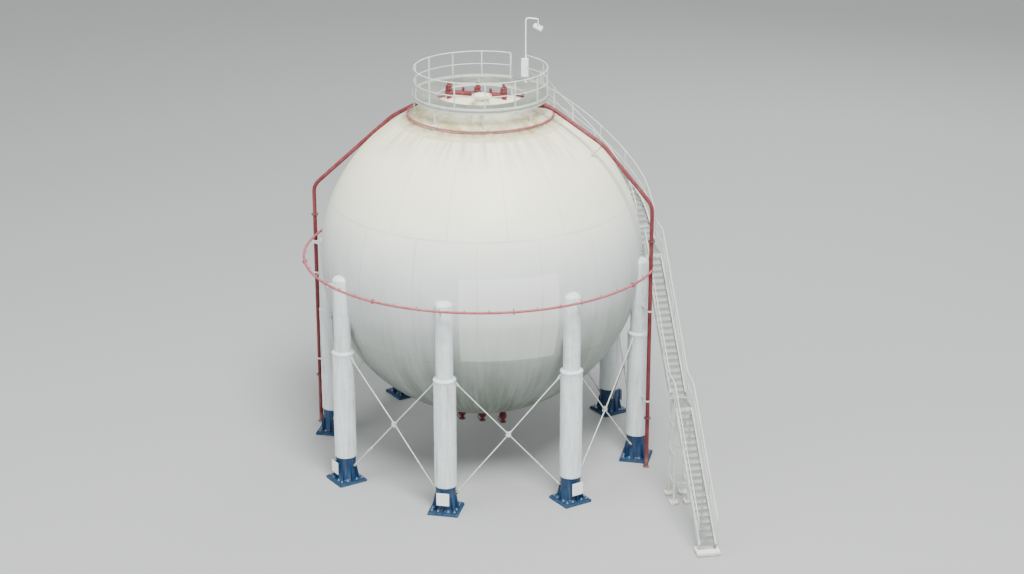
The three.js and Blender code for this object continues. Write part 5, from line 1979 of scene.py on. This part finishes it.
@dataclass
class CrownFittings:
    """Manway, relief valves and lamp inside the platform's railing."""

    arrival: float
    crown: float = 15.41
    manway_angle: float = 15.0
    manway_radius: float = 1.0
    # The relief valves' header: its line, its two ends, its feet, its valves and its vents
    row: float = 0.25
    header: tuple[float, float] = (-1.55, 1.05)
    feet: tuple[float, float] = (-1.38, 0.92)
    valve_spots: tuple[float, ...] = (-1.4, -0.2, 0.9)
    vent_spots: tuple[float, float] = (-0.8, 0.35)

    def manway(self) -> None:
        """Build the bolted manway with its hinged cover."""
        piece = Workpiece(BALL_PAINT)
        place = rim(self.manway_angle, self.manway_radius, 0.0)
        top = self.crown + 0.43
        low, seam, high = top - 0.12, top - 0.07, top - 0.026
        seat = BALL.top(self.manway_radius) - 0.09
        neck = [
            (0.0, seat), (0.33, seat), (0.312, seat + 0.1), (0.305, seat + 0.13), (0.305, low), (0.0, low),
        ]
        piece.add(turned(neck, 48), place)
        collar = [
            (0.0, low), (0.394, low), (0.4, low + 0.006), (0.4, seam - 0.006), (0.395, seam - 0.002),
            (0.0, seam - 0.002),
        ]
        cover = [
            (0.0, seam + 0.002), (0.395, seam + 0.002), (0.4, seam + 0.008), (0.4, high - 0.006),
            (0.394, high), (0.315, high), (0.306, high + 0.004), (0.298, top - 0.004), (0.29, top),
            (0.0, top),
        ]
        gasket = [(0.0, seam - 0.002), (0.388, seam - 0.002), (0.388, seam + 0.002), (0.0, seam + 0.002)]
        for ring, finish in ((collar, BALL_PAINT), (cover, BALL_PAINT), (gasket, BOLT_ZINC)):
            piece.add(turned(ring, 64), place, finish=finish)
        faces = (place @ shift(z=high), place @ shift(z=low) @ UPSIDE_DOWN)
        piece.bolts([face @ spot for face in faces for spot in bolt_circle(20, 0.357)], 0.038)
        # Hinge that the cover swings on
        for x, z in ((0.075, high - 0.02), (0.0525, low + 0.03)):
            piece.add(slab(0.02, 0.07, 0.05, 0.004), *[place @ shift(side, 0.415, z) for side in (-x, x)])
        pin = place @ shift(-0.095, 0.435, seam) @ turn(90, "Y")
        piece.add(drum(0.011, 0.19, 12), pin, finish=BOLT_ZINC)
        piece.finish_as("crown_manway", "shell_paint", "manway")

    def valves(self) -> None:
        """Build the relief valves and small vents on their header."""
        piece = Workpiece(FIRE_RED)
        height = self.crown + 0.11
        first, last = (Vector((x, self.row, height)) for x in self.header)
        piece.add(drum(0.1, (last - first).length, 32, bevel=0.02), aimed(first, last))
        for x in self.feet:
            level = BALL.top(math.hypot(x, self.row)) - 0.015
            piece.add(drum(0.1, height - level, 32), shift(x, self.row, level))
            piece.add(drum(0.112, 0.02, 32, bevel=0.004), shift(x, self.row, level + 0.01))
        piece.repeat(self.valve(), [shift(x, self.row, height) for x in self.valve_spots])
        piece.repeat(self.vent(), [shift(x, self.row, height) for x in self.vent_spots])
        piece.finish_as("crown_relief_valves", "red_paint", "relief_valves")

    @staticmethod
    def valve() -> Workpiece:
        """Make a relief valve with its bonnet and outlet.

        Returns:
            The valve, which stands on the header's middle line.
        """
        valve = Workpiece(FIRE_RED)
        valve.add(drum(0.075, 0.13, 24))
        valve.flange(shift(z=0.118), 0.15, 0.02)
        valve.flange(shift(z=0.14), 0.15, 0.016)
        body = [
            (0.0, 0.15), (0.1, 0.15), (0.125, 0.17), (0.135, 0.215), (0.13, 0.26), (0.105, 0.272),
            (0.0, 0.272),
        ]
        valve.add(turned(body))
        valve.flange(shift(z=0.272), 0.135, 0.024)
        bonnet = [
            (0.0, 0.29), (0.085, 0.29), (0.08, 0.315), (0.068, 0.34), (0.065, 0.42), (0.055, 0.438),
            (0.04, 0.445), (0.04, 0.466), (0.03, 0.47), (0.0, 0.47),
        ]
        valve.add(turned(bonnet))
        outlet = shift(z=0.215) @ turn(-90, "X")
        valve.add(drum(0.06, 0.272, 24), outlet)
        valve.flange(outlet @ shift(z=0.272), 0.085, 0.018, 4)
        valve.add(slab(0.012, 0.12, 0.012, 0.002), shift(0.05, -0.01, 0.43), finish=BOLT_ZINC)
        return valve

    @staticmethod
    def vent() -> Workpiece:
        """Make a small vent valve with its lever.

        Returns:
            The vent, which stands on the header's middle line.
        """
        vent = Workpiece(FIRE_RED)
        vent.add(drum(0.03, 0.2, 16))
        for z in (0.12, 0.134, 0.23):
            vent.flange(shift(z=z), 0.062, 0.012, 4)
        ball = [
            (0.0, 0.15), (0.034, 0.15), (0.05, 0.172), (0.054, 0.19), (0.05, 0.208), (0.034, 0.23),
            (0.0, 0.23),
        ]
        vent.add(turned(ball, 24))
        vent.add(drum(0.012, 0.04, 12), shift(0.0, -0.05, 0.19) @ STANDING, finish=BOLT_ZINC)
        vent.add(slab(0.17, 0.006, 0.02, 0.002), shift(0.07, -0.088, 0.19))
        return vent

    def lamp(self) -> None:
        """Build the lamp post with its floodlight and junction box."""
        piece = Workpiece(CAST_WHITE)
        foot = polar(2.6, self.arrival - 10, DECK_TOP + GAP)
        head = Vector((foot.x, foot.y, DECK_TOP + 2.75))
        tip = head + Vector((0.52, 0.0, -0.06))
        hang = tip - UP * 0.33
        piece.add(pipe(rounded([foot + UP * 0.015, head - UP * 0.03, tip], 0.14, 8), 0.03, 14))
        piece.add(drum(0.038, 1.0, 16, bevel=0.003), at(foot) @ shift(z=0.015))
        piece.add(slab(0.18, 0.12, 0.015, 0.002), at(foot) @ shift(z=0.0075))
        piece.bolts([at(foot) @ spot for spot in corners(0.07, 0.04, 0.015)], 0.022)
        piece.rod(tip + UP * 0.02, hang + UP * 0.05, 0.02)
        self.junction_box(piece, at(foot) @ shift(-0.02, -0.06, 0.62))
        self.floodlight(piece, at(hang))
        piece.finish_as("platform_lamp", "rail_paint", "lamp_post")

    @staticmethod
    def junction_box(piece: Workpiece, place: Matrix) -> None:
        """Add the box with its door, handle and glands.

        Args:
            piece: the workpiece that gets it.
            place: the box's middle.
        """
        piece.add(slab(0.3, 0.16, 0.78, 0.012), place)
        piece.add(slab(0.27, 0.012, 0.74, 0.004), place @ shift(y=-0.08))
        piece.bolts([place @ STANDING @ spot for spot in corners(0.12, 0.35, 0.084)], 0.016)
        piece.add(slab(0.018, 0.022, 0.09, 0.004), place @ shift(0.105, -0.095), finish=BOLT_ZINC)
        glands = [place @ shift(x, 0.02, -0.425) for x in (-0.07, 0.0, 0.07)]
        piece.add(drum(0.018, 0.04, 10), *glands, finish=BOLT_ZINC)

    @staticmethod
    def floodlight(piece: Workpiece, place: Matrix) -> None:
        """Add the tilted floodlight in its stirrup.

        Args:
            piece: the workpiece that gets it.
            place: the middle of its swing.
        """
        tilt = place @ turn(25, "Y")
        piece.add(slab(0.4, 0.3, 0.12, 0.028), tilt @ shift(z=-0.004))
        piece.add(slab(0.39, 0.29, 0.02, 0.004), tilt @ shift(z=-0.062))
        piece.add(slab(0.35, 0.25, 0.006, 0.001), tilt @ shift(z=-0.0715), finish=GLASS)
        fins = [tilt @ shift(0.03 * i, z=0.068) for i in range(-5, 6)]
        piece.add(slab(0.008, 0.24, 0.04, 0.001), *fins)
        arms = [place @ shift(y=y, z=0.03) for y in (-0.145, 0.145)]
        piece.add(slab(0.03, 0.006, 0.12, 0.002), *arms, finish=BOLT_ZINC)
        piece.add(slab(0.03, 0.29, 0.008, 0.002), place @ shift(z=0.086), finish=BOLT_ZINC)

    def build(self) -> None:
        """Build the fittings."""
        self.manway()
        self.valves()
        self.lamp()


@dataclass
class BottomNozzles:
    """Flanged outlets under the ball, each with a gate valve."""

    spacing: float = 0.9
    bottom: float = 1.1

    def nozzle(self, number: int) -> None:
        """Build an outlet.

        Args:
            number: which outlet, counted towards +X.
        """
        piece = Workpiece(FIRE_RED)
        x = (number - 2) * self.spacing
        place = shift(x, z=self.bottom)
        level = BALL.centre - BALL.chord(x) + 0.02 - self.bottom
        for z in (0.0, 0.556, 0.6):
            piece.flange(place @ shift(z=z), 0.14, 0.036)
        body = [
            (0.0, 0.03), (0.082, 0.03), (0.08, 0.13), (0.1, 0.15), (0.145, 0.2), (0.16, 0.26), (0.165, 0.3),
            (0.16, 0.34), (0.145, 0.4), (0.1, 0.45), (0.08, 0.47), (0.08, 0.56), (0.0, 0.56),
        ]
        piece.add(turned(body, 40), place)
        piece.add(drum(0.08, level - 0.62, 32), place @ shift(z=0.62))
        rings = ((0.0, -0.03), (0.15, -0.03), (0.17, -0.012), (0.17, 0.02), (0.0, 0.02))
        piece.add(turned([(radius, level + z) for radius, z in rings], 40), place)
        self.handwheel(piece, place @ shift(z=0.3) @ STANDING)
        piece.finish_as(f"bottom_outlet_{number}", "red_paint", f"bottom_nozzle_{number}")

    @staticmethod
    def handwheel(piece: Workpiece, place: Matrix) -> None:
        """Add the gate valve's yoke, stem and handwheel.

        Args:
            piece: the workpiece that gets them.
            place: the valve's middle, with +Z along the stem.
        """
        piece.add(drum(0.07, 0.19, 24, top=0.055, bevel=0.004), place)
        piece.add(drum(0.085, 0.02, 24, bevel=0.003), place @ shift(z=0.185))
        piece.add(drum(0.02, 0.12, 14), place @ shift(z=0.2), finish=BOLT_ZINC)
        piece.add(slab(0.014, 0.02, 0.1, 0.002), *[place @ shift(x, z=0.25) for x in (-0.03, 0.03)])
        piece.add(pipe(hoop(0.136, 36, 0.315), 0.0135, 10, closed=True), place)
        hub = Vector((0.0, 0.0, 0.31))
        for k in range(4):
            end = Matrix.Rotation(math.pi / 2 * k + 0.4, 4, "Z") @ Vector((0.13, 0.0, 0.315))
            piece.add(drum(0.009, (end - hub).length, 8), place @ aimed(hub, end))
        piece.add(drum(0.03, 0.03, 16, bevel=0.003), place @ shift(z=0.298))

    def build(self) -> None:
        """Build the three outlets."""
        for number in (1, 2, 3):
            self.nozzle(number)


# Studio


@dataclass
class Studio:
    """Pale floor, soft light and the camera at the photograph's angle."""

    # Where the camera stands and what it looks at, about the tank's axis
    viewpoint: tuple[float, float, float] = (19.05, -83.43, 38.35)
    target: tuple[float, float, float] = (1.3, 0.0, 7.3)
    lens: float = 76.0
    sky_colour: str = "E8ECF0"
    sky_strength: float = 0.75
    daylight_strength: float = 0.7
    # Each soft lamp's name, place, width and power
    lamps: tuple[tuple[str, tuple[float, float, float], float, float], ...] = (
        ("key_light", (20.0, -42.0, 84.0), 40.0, 186000.0),
        ("fill_light", (-50.0, -40.0, 40.0), 50.0, 20000.0),
        ("back_light", (10.0, 60.0, 45.0), 40.0, 18000.0),
    )

    @staticmethod
    def stand(data: bpy.types.ID, place: Vector, aim: Vector) -> bpy.types.Object:
        """Put a lamp or the camera in the scene.

        Args:
            data: its settings.
            place: where it stands.
            aim: which way it looks.

        Returns:
            Its object.
        """
        item = bpy.data.objects.new(data.name, data)
        item.location = place
        item.rotation_euler = aim.to_track_quat("-Z", "Y").to_euler()
        bpy.context.collection.objects.link(item)
        return item

    def floor(self) -> None:
        """Lay a wide floor."""
        ground = bmesh.new()
        bmesh.ops.create_circle(ground, cap_ends=True, segments=64, radius=600.0)
        mesh = bpy.data.meshes.new("studio_ground")
        ground.to_mesh(mesh)
        ground.free()
        mesh.materials.append(FLOOR.material())
        floor = bpy.data.objects.new("studio_ground", mesh)
        bpy.context.collection.objects.link(floor)

    def light(self) -> None:
        """Set the even pale surroundings, the daylight from above and the soft lamps."""
        sky = bpy.data.worlds.new("studio_sky")
        sky.use_nodes = True
        shader = sky.node_tree.nodes["Background"]
        shader.inputs["Color"].default_value = linear(self.sky_colour)
        shader.inputs["Strength"].default_value = self.sky_strength
        bpy.context.scene.world = sky
        daylight = bpy.data.lights.new("daylight", "SUN")
        daylight.energy = self.daylight_strength
        daylight.angle = math.radians(85)
        self.stand(daylight, Vector(), Vector((10.0, 20.0, -60.0)))
        for name, place, size, power in self.lamps:
            lamp = bpy.data.lights.new(name, "AREA")
            lamp.shape = "DISK"
            lamp.size = size
            lamp.energy = power
            self.stand(lamp, Vector(place), Vector((0.0, 0.0, 8.0)) - Vector(place))

    def camera(self) -> None:
        """Set up the camera."""
        lens = bpy.data.cameras.new("photo_view")
        lens.lens = self.lens
        lens.clip_end = 2000.0
        place = Vector(self.viewpoint)
        bpy.context.scene.camera = self.stand(lens, place + AXIS, Vector(self.target) - place)

    def build(self) -> None:
        """Set up the studio."""
        self.floor()
        self.light()
        self.camera()


def main() -> None:
    """Build the tank and its studio."""
    logging.basicConfig(level=logging.INFO, format="%(message)s", stream=sys.stdout)
    Studio().build()
    BALL.build()
    Legs().build()
    SprayPipes().build()
    StraightStair().build()
    points, arrival = CurvedRoute().solved()
    CurvedStair(points).build()
    Platform(arrival).build()
    CrownFittings(arrival).build()
    BottomNozzles().build()


if __name__ == "__main__":
    main()
